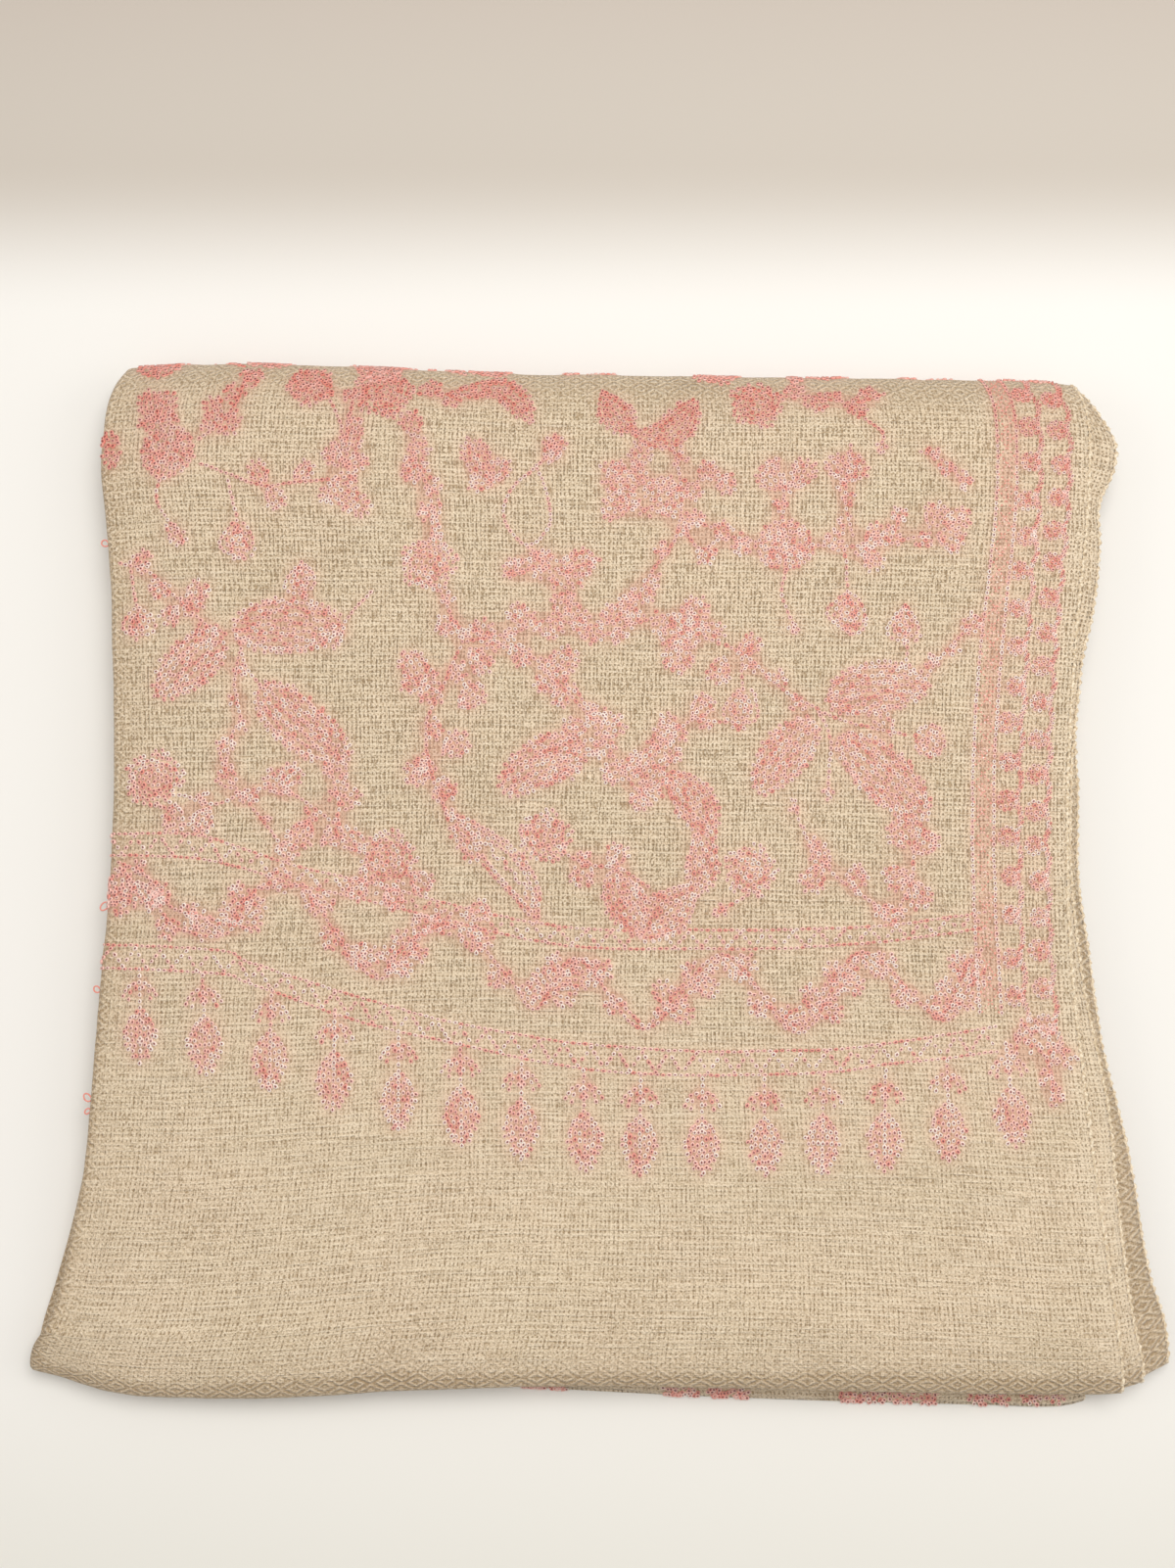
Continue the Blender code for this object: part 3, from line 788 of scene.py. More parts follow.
@dataclass
class InnerPair:
    """A folded sheet inside the pack: its fold at the left, its two selvedges at the right."""

    form: PackForm
    level: Level
    left_inset: float
    step: float = 8.0 * MM
    top_rows: int = 84
    measured_row: int = 40
    turn_rows: int = 9
    turn_reach: float = 3.4 * MM
    corner_inset: float = 14.0 * MM
    stray: float = 2.2 * MM
    stray_run: float = 38.0

    def stations(self) -> list[tuple[str, float]]:
        """Where the sheet is read from front to back."""
        found = [("ends", share) for share in (0.0, 0.35, 0.7, 1.0)] if self.level is Level.LOWER else []
        found.append(("rise", 0.0))
        found += [("top", i / self.top_rows) for i in range(self.top_rows + 1)]
        return found + [("back", 90.0 - 90.0 * i / self.turn_rows) for i in range(1, self.turn_rows)]

    def levels(self, x: np.ndarray, station: tuple[str, float]) -> tuple[np.ndarray, np.ndarray, np.ndarray]:
        """Depth, lowest and highest level of the inner plies at a station.

        Args:
            x: Places across.
            station: The stretch and the share or angle in it.

        Returns:
            Depths y, lowest levels and highest levels.
        """
        form = self.form
        zone, share = station
        front, back = form.front(x), form.back(x)
        reach, nose, fold_bottom, under_reach = form.front_sizes(x)
        lip_end = front + under_reach + form.front_lip
        if zone == "ends":
            start = np.minimum(np.maximum(front, form.bottom_front.read(x, 1)) + 2.5 * MM, lip_end - 4.0 * MM)
            y = start + share * (lip_end + form.seam_gap - start)
            sink = 1.0 - form.third_droop(x, y) / form.height(x, y)
            low, high = form.core_foot(x, y), (fold_bottom - form.clearance) * sink
            return y, low, low + (high - low) / self.level.value[0]
        if zone == "back":
            turn = math.radians(share)
            y = back - form.back_rounding + (form.back_rounding - form.back_cover) * math.cos(turn)
            nose_back = form.back_nose_share * form.height(x, back)
            high = nose_back + (form.height(x, y) - nose_back - form.back_cover) * math.sin(turn)
            past = (y - (back - form.back_under_reach)) / (form.back_under_reach - form.back_cover)
            low = nose_back - (nose_back - form.back_cover) * np.sqrt(1.0 - np.clip(past, 0.0, 1.0) ** 2)
            return y, np.where(past < -0.5, form.core_foot(x, y), np.maximum(low, form.core_foot(x, y))), high
        if zone == "rise":
            y = lip_end + 3.0 * MM
        else:
            y, _ = form.path(x, Station(Zone.TOP, share), 0.0)
        cover = form.core_cover(x, y)
        across = np.clip((front + reach - y) / (reach - cover), 0.0, 1.0)
        high = nose + (form.height(x, y) - nose - cover) * np.sqrt(1.0 - across * across)
        sink = 1.0 - form.third_droop(x, y) / form.height(x, y)
        return y, form.core_foot(x, y), high * sink

    def sheet(self) -> ClothSheet:
        """Lay the folded sheet out: upper ply from the selvedge, the turn, and the lower ply back."""
        form = self.form
        keep_top, keep_low = self.level.value
        shares = even_shares(form.nominal_width, self.step)
        turn_angles = np.pi * np.arange(1, self.turn_rows) / self.turn_rows
        wander = SoftNoise(11 + len(self.level.name))
        grid = []
        for station in self.stations():
            y0, _, _ = self.levels(np.array([0.0]), station)
            corner = station[0] in ("ends", "rise", "back") or station[1] < 0.02
            inset = self.left_inset + (self.corner_inset if corner else 0.0)
            left = np.maximum(form.top_left(y0), form.bottom_outline.read(y0, 1)) + inset + 4.0 * MM
            upper = np.maximum(form.top_right(y0) - 2.0 * MM, form.selvedges.read(y0, 2) - 6.0 * MM)
            lower = form.bottom_outline.read(y0, 2) - 2.0 * MM
            place = float(y0[0]) / MM
            rights = []
            for turn, keep in enumerate((keep_top, keep_low)):
                wave = wander.at(np.array([place / self.stray_run]), np.array([3.0 * turn + 1.5]))
                stray = self.stray * float(wave[0])
                rights.append(lower + (upper - lower) * keep - 1.2 * MM + stray)
            x_top = rights[0] + shares * (left - rights[0])
            x_low = rights[1] + shares[::-1] * (left - rights[1])
            y_top, low, high = self.levels(x_top, station)
            z_top = low + (high - low) * keep_top
            y_low, low, high = self.levels(x_low, station)
            z_low = low + (high - low) * keep_low
            middle, half = (z_top[-1] + z_low[0]) / 2.0, (z_top[-1] - z_low[0]) / 2.0
            turn_x = left - self.turn_reach * np.sin(turn_angles[:-1])
            turn_z = middle + half * np.cos(turn_angles[:-1])
            turn_y = np.full_like(turn_x, y_top[-1])
            grid.append(section((x_top, y_top, z_top), (turn_x, turn_y, turn_z), (x_low, y_low, z_low)))
        return ClothSheet(np.array(grid), run_along(grid[self.measured_row]), len(shares), wall=1.0 * MM)


@dataclass
class BottomPly:
    """The lowest ply: flat on the floor, its left fold turned up, its embroidered end out in front."""

    form: PackForm
    lift: float = 0.4 * MM
    step: float = 5.6 * MM

    def depth(self, x: np.ndarray, along: float) -> np.ndarray:
        """Depth of a point of the ply, from its free end to the foot of the back fold."""
        form = self.form
        front = form.bottom_front.read(x, 1)
        foot = form.back(x) - form.back_under_reach - form.back_lip - form.seam_gap
        return front + along * (foot - front)

    def sheet(self) -> ClothSheet:
        """Lay the ply out, its outer surface downwards."""
        form = self.form
        shares = even_shares(form.nominal_width, self.step)
        inward, depths, run = turn_section(form.low_turn_radius, form.turn_lip, 2.0 * MM)
        grid = []
        for along in even_shares(500.0 * MM, self.step):
            nominal = form.nominal_right - shares * form.nominal_width
            y = self.depth(nominal, along)
            left = form.bottom_outline.read(y, 1) + form.low_turn_radius
            right = form.bottom_outline.read(y, 2)
            x = right + shares * (left - right)
            turn_x = x[-1] + inward
            turn_y = np.full_like(turn_x, self.depth(x[-1:], along)[0])
            flat = (x, self.depth(x, along), np.full_like(x, self.lift))
            grid.append(section(flat, (turn_x, turn_y, np.maximum(depths, self.lift))))
        across = np.concatenate([shares * form.nominal_width, form.nominal_width + run])
        return ClothSheet(np.array(grid), across, len(shares), facing=-1.0, wall=1.3 * MM)


class Value:
    """A socket that takes part in sums."""

    def __init__(self, graph: "NodeGraph", socket: bpy.types.NodeSocket) -> None:
        """Wrap a socket of a graph."""
        self.graph = graph
        self.socket = socket

    def __add__(self, other: "Value | float") -> "Value":
        """Sum."""
        return self.graph.math("ADD", self, other)

    def __radd__(self, other: float) -> "Value":
        """Sum with a number in front."""
        return self.graph.math("ADD", other, self)

    def __sub__(self, other: "Value | float") -> "Value":
        """Difference."""
        return self.graph.math("SUBTRACT", self, other)

    def __rsub__(self, other: float) -> "Value":
        """Difference from a number."""
        return self.graph.math("SUBTRACT", other, self)

    def __mul__(self, other: "Value | float") -> "Value":
        """Product."""
        return self.graph.math("MULTIPLY", self, other)

    def __rmul__(self, other: float) -> "Value":
        """Product with a number in front."""
        return self.graph.math("MULTIPLY", other, self)

    def __truediv__(self, other: "Value | float") -> "Value":
        """Quotient."""
        return self.graph.math("DIVIDE", self, other)

    def __rtruediv__(self, other: float) -> "Value":
        """Quotient of a number."""
        return self.graph.math("DIVIDE", other, self)


class NodeGraph:
    """A tree of nodes, made by one method and joined by expressions."""

    def __init__(self, tree: bpy.types.NodeTree) -> None:
        """Take the tree to build in."""
        self.tree = tree

    def node(self, kind: str, settings: dict[str, object] | None = None, **sockets: object) -> bpy.types.Node:
        """Add a node.

        Args:
            kind: Its type.
            settings: Its properties, set before its sockets.
            sockets: Values or links, by the socket's name with underscores, or "s0", "s1" by place.

        Returns:
            The new node.
        """
        made = self.tree.nodes.new(kind)
        for name, value in (settings or {}).items():
            setattr(made, name, value)
        for name, value in sockets.items():
            by_place = name[0] == "s" and name[1:].isdigit()
            self.feed(made.inputs[int(name[1:])] if by_place else in_use(made.inputs, name.replace("_", " ")), value)
        return made

    def feed(self, socket: bpy.types.NodeSocket, value: object) -> None:
        """Link or set a socket."""
        if isinstance(value, Value):
            self.tree.links.new(value.socket, socket)
        else:
            socket.default_value = value

    def value(self, kind: str, settings: dict[str, object] | None = None, **sockets: object) -> Value:
        """Add a node and take the first socket out that its settings leave in use."""
        made = self.node(kind, settings, **sockets)
        return Value(self, next(socket for socket in made.outputs if socket.enabled))

    def math(self, operation: str, *values: "Value | float") -> Value:
        """Work out a sum on sockets and numbers."""
        made = self.node("ShaderNodeMath", {"operation": operation})
        for socket, value in zip(made.inputs, values):
            self.feed(socket, value)
        return Value(self, made.outputs[0])


def in_use(sockets: Iterable[bpy.types.NodeSocket], name: str) -> bpy.types.NodeSocket:
    """The socket of this name that its node's settings leave in use."""
    return next(socket for socket in sockets if socket.name == name and socket.enabled)


class Graph(NodeGraph):
    """A material's nodes."""

    def __init__(self, name: str) -> None:
        """Start a new material with an output and a Principled shader."""
        self.material = bpy.data.materials.new(name)
        self.material.use_nodes = True
        super().__init__(self.material.node_tree)
        self.shader = self.tree.nodes["Principled BSDF"]

    def ramp(self, value: Value, low: float, high: float) -> Value:
        """Ease a value from 0 at low to 1 at high."""
        made = self.node("ShaderNodeMapRange", {"interpolation_type": "SMOOTHSTEP", "clamp": True})
        for place, given in enumerate((value, low, high, 0.0, 1.0)):
            self.feed(made.inputs[place], given)
        return Value(self, made.outputs[0])

    def blend(self, share: Value, first: object, second: object) -> Value:
        """Mix two colours."""
        made = self.node("ShaderNodeMix", {"data_type": "RGBA"})
        self.feed(made.inputs[0], share)
        self.feed(made.inputs[6], first)
        self.feed(made.inputs[7], second)
        return Value(self, made.outputs[2])

    def noise(self, place: Value, scale: float, detail: float = 2.0, roughness: float = 0.5) -> Value:
        """Read noise at a place."""
        settings = {"noise_dimensions": "3D"}
        return self.value("ShaderNodeTexNoise", settings, Vector=place, Scale=scale, Detail=detail, Roughness=roughness)

    def stretched(self, place: Value, x: float, y: float, z: float) -> Value:
        """Scale a place along its axes."""
        return self.value("ShaderNodeVectorMath", {"operation": "MULTIPLY"}, s0=place, s1=(x, y, z))

    def parts(self, place: Value) -> tuple[Value, Value]:
        """Split a place into its first two numbers."""
        made = self.node("ShaderNodeSeparateXYZ", None, s0=place)
        return Value(self, made.outputs[0]), Value(self, made.outputs[1])

    def uv(self) -> Value:
        """The piece's own UV map."""
        return self.value("ShaderNodeUVMap", {"uv_map": "flat_cloth"})

    def place(self) -> Value:
        """The place in the object."""
        return Value(self, self.node("ShaderNodeTexCoord").outputs["Object"])

    def attribute(self, name: str) -> Value:
        """A number that the mesh carries."""
        return Value(self, self.node("ShaderNodeAttribute", {"attribute_name": name}).outputs["Fac"])

    def bump(self, height: Value, strength: float, distance: float) -> Value:
        """Turn heights into a normal."""
        return self.value("ShaderNodeBump", None, Strength=strength, Distance=distance, Height=height)

    def finish(
        self, colour: Value, roughness: Value | float, normal: Value | None, fixed: dict[str, float]
    ) -> bpy.types.Material:
        """Feed the shader.

        Args:
            colour: Base colour.
            roughness: Roughness, a value or a number.
            normal: Normal, if the surface has relief.
            fixed: Numbers and colours that are the same all over, by socket name.

        Returns:
            The material.
        """
        self.feed(self.shader.inputs["Base Color"], colour)
        self.feed(self.shader.inputs["Roughness"], roughness)
        if normal is not None:
            self.feed(self.shader.inputs["Normal"], normal)
        for name, value in fixed.items():
            self.shader.inputs[name].default_value = value
        return self.material


def linear(red: float, green: float, blue: float) -> tuple[float, float, float, float]:
    """Scene colour of a screen colour given from 0 to 255."""
    parts = [value / 255.0 for value in (red, green, blue)]
    return (*[p / 12.92 if p <= 0.04045 else ((p + 0.055) / 1.055) ** 2.4 for p in parts], 1.0)


@dataclass(frozen=True)
class WoolFinish:
    """Fine undyed pashmina: nested diamonds of twill, irregular yarns, pin holes, slubs and soft nap, with painted
    shade in the twill's valleys, between the yarns, on the folds and between the links of dense stitching.
    """

    name: str = "shawl_wool"
    base: tuple[float, float, float] = (228.0, 207.0, 179.0)
    pale: tuple[float, float, float] = (247.0, 231.0, 206.0)
    dark: tuple[float, float, float] = (162.0, 136.0, 102.0)
    cool: tuple[float, float, float] = (219.0, 203.0, 173.0)
    blush: tuple[float, float, float] = (233.0, 180.0, 160.0)
    # Deep rose painted under dense stitching as the shade between the links.
    stitch_shade: tuple[float, float, float] = (206.0, 136.0, 122.0)
    diamond_width: float = 13.6 * MM
    diamond_length: float = 9.7 * MM
    ribs: float = 1.5
    yarn: float = 1.15 * MM
    reed: float = 2.15 * MM
    picks: float = 2.5 * MM

    def build(self) -> bpy.types.Material:
        """Make the material on the flat cloth's coordinates."""
        g = Graph(self.name)
        flat = g.uv()
        u, v = g.parts(flat)
        fold = g.attribute("fold")
        _, ahead = g.parts(g.place())
        wander = g.noise(g.stretched(flat, 60.0, 60.0, 1.0), 1.0, 2.0) - 0.5
        warp_stray = g.noise(g.stretched(flat, 260.0, 40.0, 1.0), 1.0, 2.0) - 0.5
        weft_stray = g.noise(g.stretched(flat, 40.0, 290.0, 1.0), 1.0, 2.0) - 0.5
        saw_u = g.math("PINGPONG", u / self.diamond_width + wander * 0.16, 0.5) * 2.0
        saw_v = g.math("PINGPONG", v / self.diamond_length + wander * 0.14, 0.5) * 2.0
        rib = g.math("SINE", (saw_u + saw_v) * (self.ribs * 2.0 * math.pi)) * 0.5 + 0.5
        # Where the twill's diamonds show, mostly on the folds: their valleys get painted shade in the colour below, and
        # their ribs rise in the bump.
        shown = fold * 0.86 + g.ramp(g.noise(g.stretched(flat, 17.0, 17.0, 1.0), 1.0, 1.0), 0.50, 0.72) * 0.22 + 0.10
        twill_valley_shade = (1.0 - rib) * shown
        warp = g.math("SINE", (u / self.yarn + warp_stray * 2.0) * (2.0 * math.pi))
        weft = g.math("SINE", (v / (self.yarn * 0.86) + weft_stray * 2.0) * (2.0 * math.pi))
        weave = warp * weft * 0.5 + 0.5
        column = g.math("SINE", (u / self.reed + warp_stray * 1.1) * (2.0 * math.pi)) * 0.5 + 0.5
        pick = g.math("SINE", (v / self.picks + weft_stray * 1.3) * (2.0 * math.pi)) * 0.5 + 0.5
        missed = g.ramp(g.noise(g.stretched(flat, 820.0, 640.0, 3.0), 1.0, 0.0), 0.34, 0.62)
        pins = g.ramp(column * (pick * 0.6 + 0.4), 0.54, 0.88) * (missed * 0.60 + 0.40)
        clump = g.noise(g.stretched(flat, 1060.0, 1180.0, 1.0), 1.0, 0.0)
        upright = g.noise(g.stretched(flat, 1050.0, 150.0, 1.0), 1.0, 0.0)
        level = g.noise(g.stretched(flat, 62.0, 1150.0, 1.0), 1.0, 0.0)
        crisp = g.ramp(v, -0.15, 0.02)
        holes = (pins + g.ramp(upright, 0.60, 0.72) * 0.45) * (1.0 - fold * 0.6) * (crisp * 0.55 + 1.0)
        slub_u = g.ramp(g.noise(g.stretched(flat, 12.0, 760.0, 1.0), 1.0, 2.0), 0.55, 0.68)
        slub_v = g.ramp(g.noise(g.stretched(flat, 760.0, 14.0, 1.0), 1.0, 2.0), 0.58, 0.72)
        slubs = g.math("MAXIMUM", slub_u, slub_v * 0.7)
        patches = g.ramp(g.noise(g.stretched(flat, 14.0, 17.0, 1.0), 1.0, 2.0), 0.30, 0.74)
        colour = g.blend(patches * 0.45, linear(*self.base), linear(*self.cool))
        colour = g.blend(g.ramp(level, 0.50, 0.72) * 0.50, colour, linear(*self.pale))
        colour = g.blend(g.ramp(clump, 0.46, 0.76) * 0.62, colour, linear(*self.pale))
        colour = g.blend(slubs * 0.42 + g.ramp(u, 13.0 * MM, 3.0 * MM) * 0.35, colour, linear(*self.pale))
        # Dark marks: pin holes, thin places between clumps and level lines are the cloth's own; the twill valleys and
        # the dark between the yarns of the weave are painted shade.
        dark_marks_and_shade = twill_valley_shade * 0.46 + (1.0 - weave) * 0.10 + holes * 0.70 + g.ramp(clump, 0.52, 0.22) * (crisp * 0.24 + 0.42)
        # Painted shade on the folds, most of it on the front fold, which faces away from the light.
        shade = g.ramp(fold, 0.55, 1.0) * (g.ramp(ahead, 0.12, -0.12) * 0.19 + 0.02)
        dark_marks_and_shade = dark_marks_and_shade + g.ramp(level, 0.48, 0.28) * 0.14 + shade
        colour = g.blend(g.math("MINIMUM", dark_marks_and_shade, 0.94), colour, linear(*self.dark))
        sewn = g.attribute("stitched")
        colour = g.blend(sewn * 0.20, colour, linear(*self.blush))
        # Painted shade between the links: where stitching is dense the cloth turns deep rose.
        colour = g.blend(g.ramp(sewn, 0.85, 1.0) * 0.26, colour, linear(*self.stitch_shade))
        height = rib * shown * 1.3 + weave * 0.3 + slubs * 0.4 + clump * 1.0 + level * 0.7 - holes * 0.8
        normal = g.bump(height, 1.0, 0.5 * MM)
        return g.finish(
            colour,
            0.92 - slubs * 0.10,
            normal,
            {"Sheen Weight": 0.22, "Sheen Roughness": 0.45, "Specular IOR Level": 0.22},
        )


@dataclass(frozen=True)
class YarnFinish:
    """Loose wool yarn and fibre at the selvedges."""

    name: str = "selvedge_yarn"
    base: tuple[float, float, float] = (250.0, 237.0, 214.0)
    dark: tuple[float, float, float] = (206.0, 184.0, 152.0)

    def build(self) -> bpy.types.Material:
        """Make the material on the piece's own place."""
        g = Graph(self.name)
        place = g.place()
        strand = g.noise(g.stretched(place, 900.0, 900.0, 900.0), 1.0, 2.0)
        colour = g.blend(g.ramp(strand, 0.38, 0.66) * 0.8, linear(*self.dark), linear(*self.base))
        return g.finish(
            colour,
            0.92,
            g.bump(strand, 0.5, 0.3 * MM),
            {"Sheen Weight": 0.25, "Sheen Roughness": 0.5, "Specular IOR Level": 0.2},
        )


@dataclass(frozen=True)
class SilkFinish:
    """Rose silk floss in chain stitch: every link has its own tone, painted shade in its eye and round its foot, and
    painted shade where the silk turns over the back and left folds.
    """

    name: str = "embroidery_silk"
    deep: tuple[float, float, float] = (244.0, 164.0, 150.0)
    rose: tuple[float, float, float] = (255.0, 213.0, 202.0)
    pale: tuple[float, float, float] = (255.0, 242.0, 232.0)
    # Painted shade in each link's eye and round its foot.
    eye: tuple[float, float, float] = (126.0, 38.0, 34.0)
    # Painted shade where the silk turns over the back and left folds.
    turned: tuple[float, float, float] = (226.0, 122.0, 104.0)

    def build(self) -> bpy.types.Material:
        """Make the material on the stitches' own tone."""
        g = Graph(self.name)
        tone = g.attribute("silk_tone")
        eye_shade = g.attribute("eye")
        place = g.place()
        fade = g.noise(g.stretched(place, 45.0, 45.0, 45.0), 1.0, 2.0)
        strand = g.noise(g.stretched(place, 1300.0, 1300.0, 1300.0), 1.0, 2.0)
        mixed = tone + (fade - 0.5) * 0.35
        colour = g.blend(g.ramp(mixed, 0.0, 0.5), linear(*self.deep), linear(*self.rose))
        colour = g.blend(g.ramp(mixed, 0.5, 1.0), colour, linear(*self.pale))
        x, y = g.parts(place)
        # Painted shade: the silk darkens towards the back fold and the left fold.
        away = g.ramp(y, 0.17, 0.262) + g.ramp(x, -0.222, -0.262) * 0.8
        colour = g.blend(away * 0.54, colour, linear(*self.turned))
        # Painted shade: the link's eye and foot darken to deep red.
        colour = g.blend(g.ramp(eye_shade, 0.18, 0.50) * 0.97, colour, linear(*self.eye))
        return g.finish(
            colour,
            0.24 + strand * 0.16,
            g.bump(strand, 0.5, 0.3 * MM),
            {"Sheen Weight": 0.1, "Specular IOR Level": 0.6},
        )


@dataclass(frozen=True)
class PaperFinish:
    """The plain pale paper that the shawl lies on, with painted shade far behind and a little close in front."""

    name: str = "pale_paper"
    base: tuple[float, float, float] = (238.0, 236.0, 232.0)
    # The front, far and farthest colours are painted shade: darker close in front of the pack and far behind it.
    front: tuple[float, float, float] = (226.0, 224.0, 216.0)
    far: tuple[float, float, float] = (200.0, 192.0, 182.0)
    farthest_shade: tuple[float, float, float] = (190.0, 177.0, 167.0)

    def build(self) -> bpy.types.Material:
        """Make the paper's material, its painted shade darker in front and far behind."""
        g = Graph(self.name)
        _, y = g.parts(g.place())
        # Painted shade close in front of the pack, then far behind it.
        colour = g.blend(g.ramp(y, -0.20, -0.40), linear(*self.base), linear(*self.front))
        colour = g.blend(g.ramp(y, 0.295, 0.385), colour, linear(*self.far))
        colour = g.blend(g.ramp(y, 0.40, 0.60), colour, linear(*self.farthest_shade))
        return g.finish(colour, 0.75, None, {"Specular IOR Level": 0.1})


class Stitch(Enum):
    """Kinds of stitch by pitch, length, width and height in millimetres."""

    CHAIN = (2.75, 2.85, 2.10, 0.90)
    KNOTTED = (2.5, 2.5, 2.00, 1.05)
    THREAD = (2.2, 2.3, 1.00, 0.42)
    ROPE = (3.2, 3.0, 1.40, 0.80)
    RAIL = (2.9, 2.8, 1.70, 0.55)
    PLAIN = (2.6, 2.7, 1.7, 0.30)


@dataclass
class Row:
    """A row of stitches on the flat cloth, in millimetres."""

    points: np.ndarray
    tone: float = 0.5
    kind: Stitch = Stitch.CHAIN
    by_selvedge: bool = False
    free: np.ndarray | None = None

    def stepped(self) -> "Row":
        """Return the row with one point where each of its links goes."""
        run = run_along(self.points)
        at = np.linspace(0.0, run[-1], max(int(run[-1] / self.kind.value[0]), 1) + 1)
        places = read_along(self.points, run, at)
        return replace(self, points=places, free=np.ones(len(places)))


def clear_rows(rows: Iterable[Row], reach: float = 1.35) -> list[Row]:
    """Step rows out link by link and mark the links that would lie on those of earlier rows.

    Args:
        rows: The rows in the order of sewing.
        reach: Nearest that two rows' links may come, in millimetres.

    Returns:
        The rows, each point's freedom 0 where no link goes and 1 elsewhere.
    """
    taken: dict[tuple[int, int], list[tuple[float, float]]] = {}
    cleared = []
    for row in rows:
        stepped = row.stepped()
        cleared.append(stepped)
        if row.kind in (Stitch.THREAD, Stitch.ROPE):
            continue
        for i, (x, y) in enumerate(stepped.points):
            column, level = int(x // reach), int(y // reach)
            near = [
                spot
                for beside in (-1, 0, 1)
                for beyond in (-1, 0, 1)
                for spot in taken.get((column + beside, level + beyond), ())
            ]
            if any((x - a) ** 2 + (y - b) ** 2 < reach**2 for a, b in near):
                stepped.free[i] = 0.0
        for (x, y), free in zip(stepped.points, stepped.free):
            if free > 0.5:
                taken.setdefault((int(x // reach), int(y // reach)), []).append((float(x), float(y)))
    return cleared


def curve_through(points: Sequence[Sequence[float]], step: float = 1.6) -> np.ndarray:
    """Draw a smooth curve through places.

    Args:
        points: The places, in millimetres.
        step: Spacing of the curve's points.

    Returns:
        The curve's points.
    """
    knots = np.array(points, float)
    if len(knots) == 2:
        count = max(2, int(np.linalg.norm(knots[1] - knots[0]) / step) + 1)
        return knots[0] + (knots[1] - knots[0]) * np.linspace(0, 1, count)[:, None]
    padded = np.vstack([2 * knots[0] - knots[1], knots, 2 * knots[-1] - knots[-2]])
    pieces = []
    for i in range(1, len(padded) - 2):
        a, b, c, d = padded[i - 1 : i + 3]
        count = max(2, int(np.linalg.norm(c - b) / step) + 1)
        t = np.linspace(0, 1, count, endpoint=False)[:, None]
        pieces.append(0.5 * (2 * b + (c - a) * t + (2 * a - 5 * b + 4 * c - d) * t**2 + (3 * b - a - 3 * c + d) * t**3))
    return np.vstack([*pieces, knots[-1:]])


def sideways(points: np.ndarray) -> np.ndarray:
    """Unit directions to the left of a curve."""
    tangent = unit(np.gradient(points, axis=0))
    return np.stack([-tangent[:, 1], tangent[:, 0]], axis=1)


def round_about(x: float, y: float, reach: np.ndarray, angle: np.ndarray) -> np.ndarray:
    """Places round a middle, by their distances from it and their angles."""
    return np.stack([x + reach * np.cos(angle), y + reach * np.sin(angle)], axis=1)


def heading_of(step_x: float, step_y: float) -> float:
    """Heading of a step in degrees from +X."""
    return math.degrees(math.atan2(step_y, step_x))


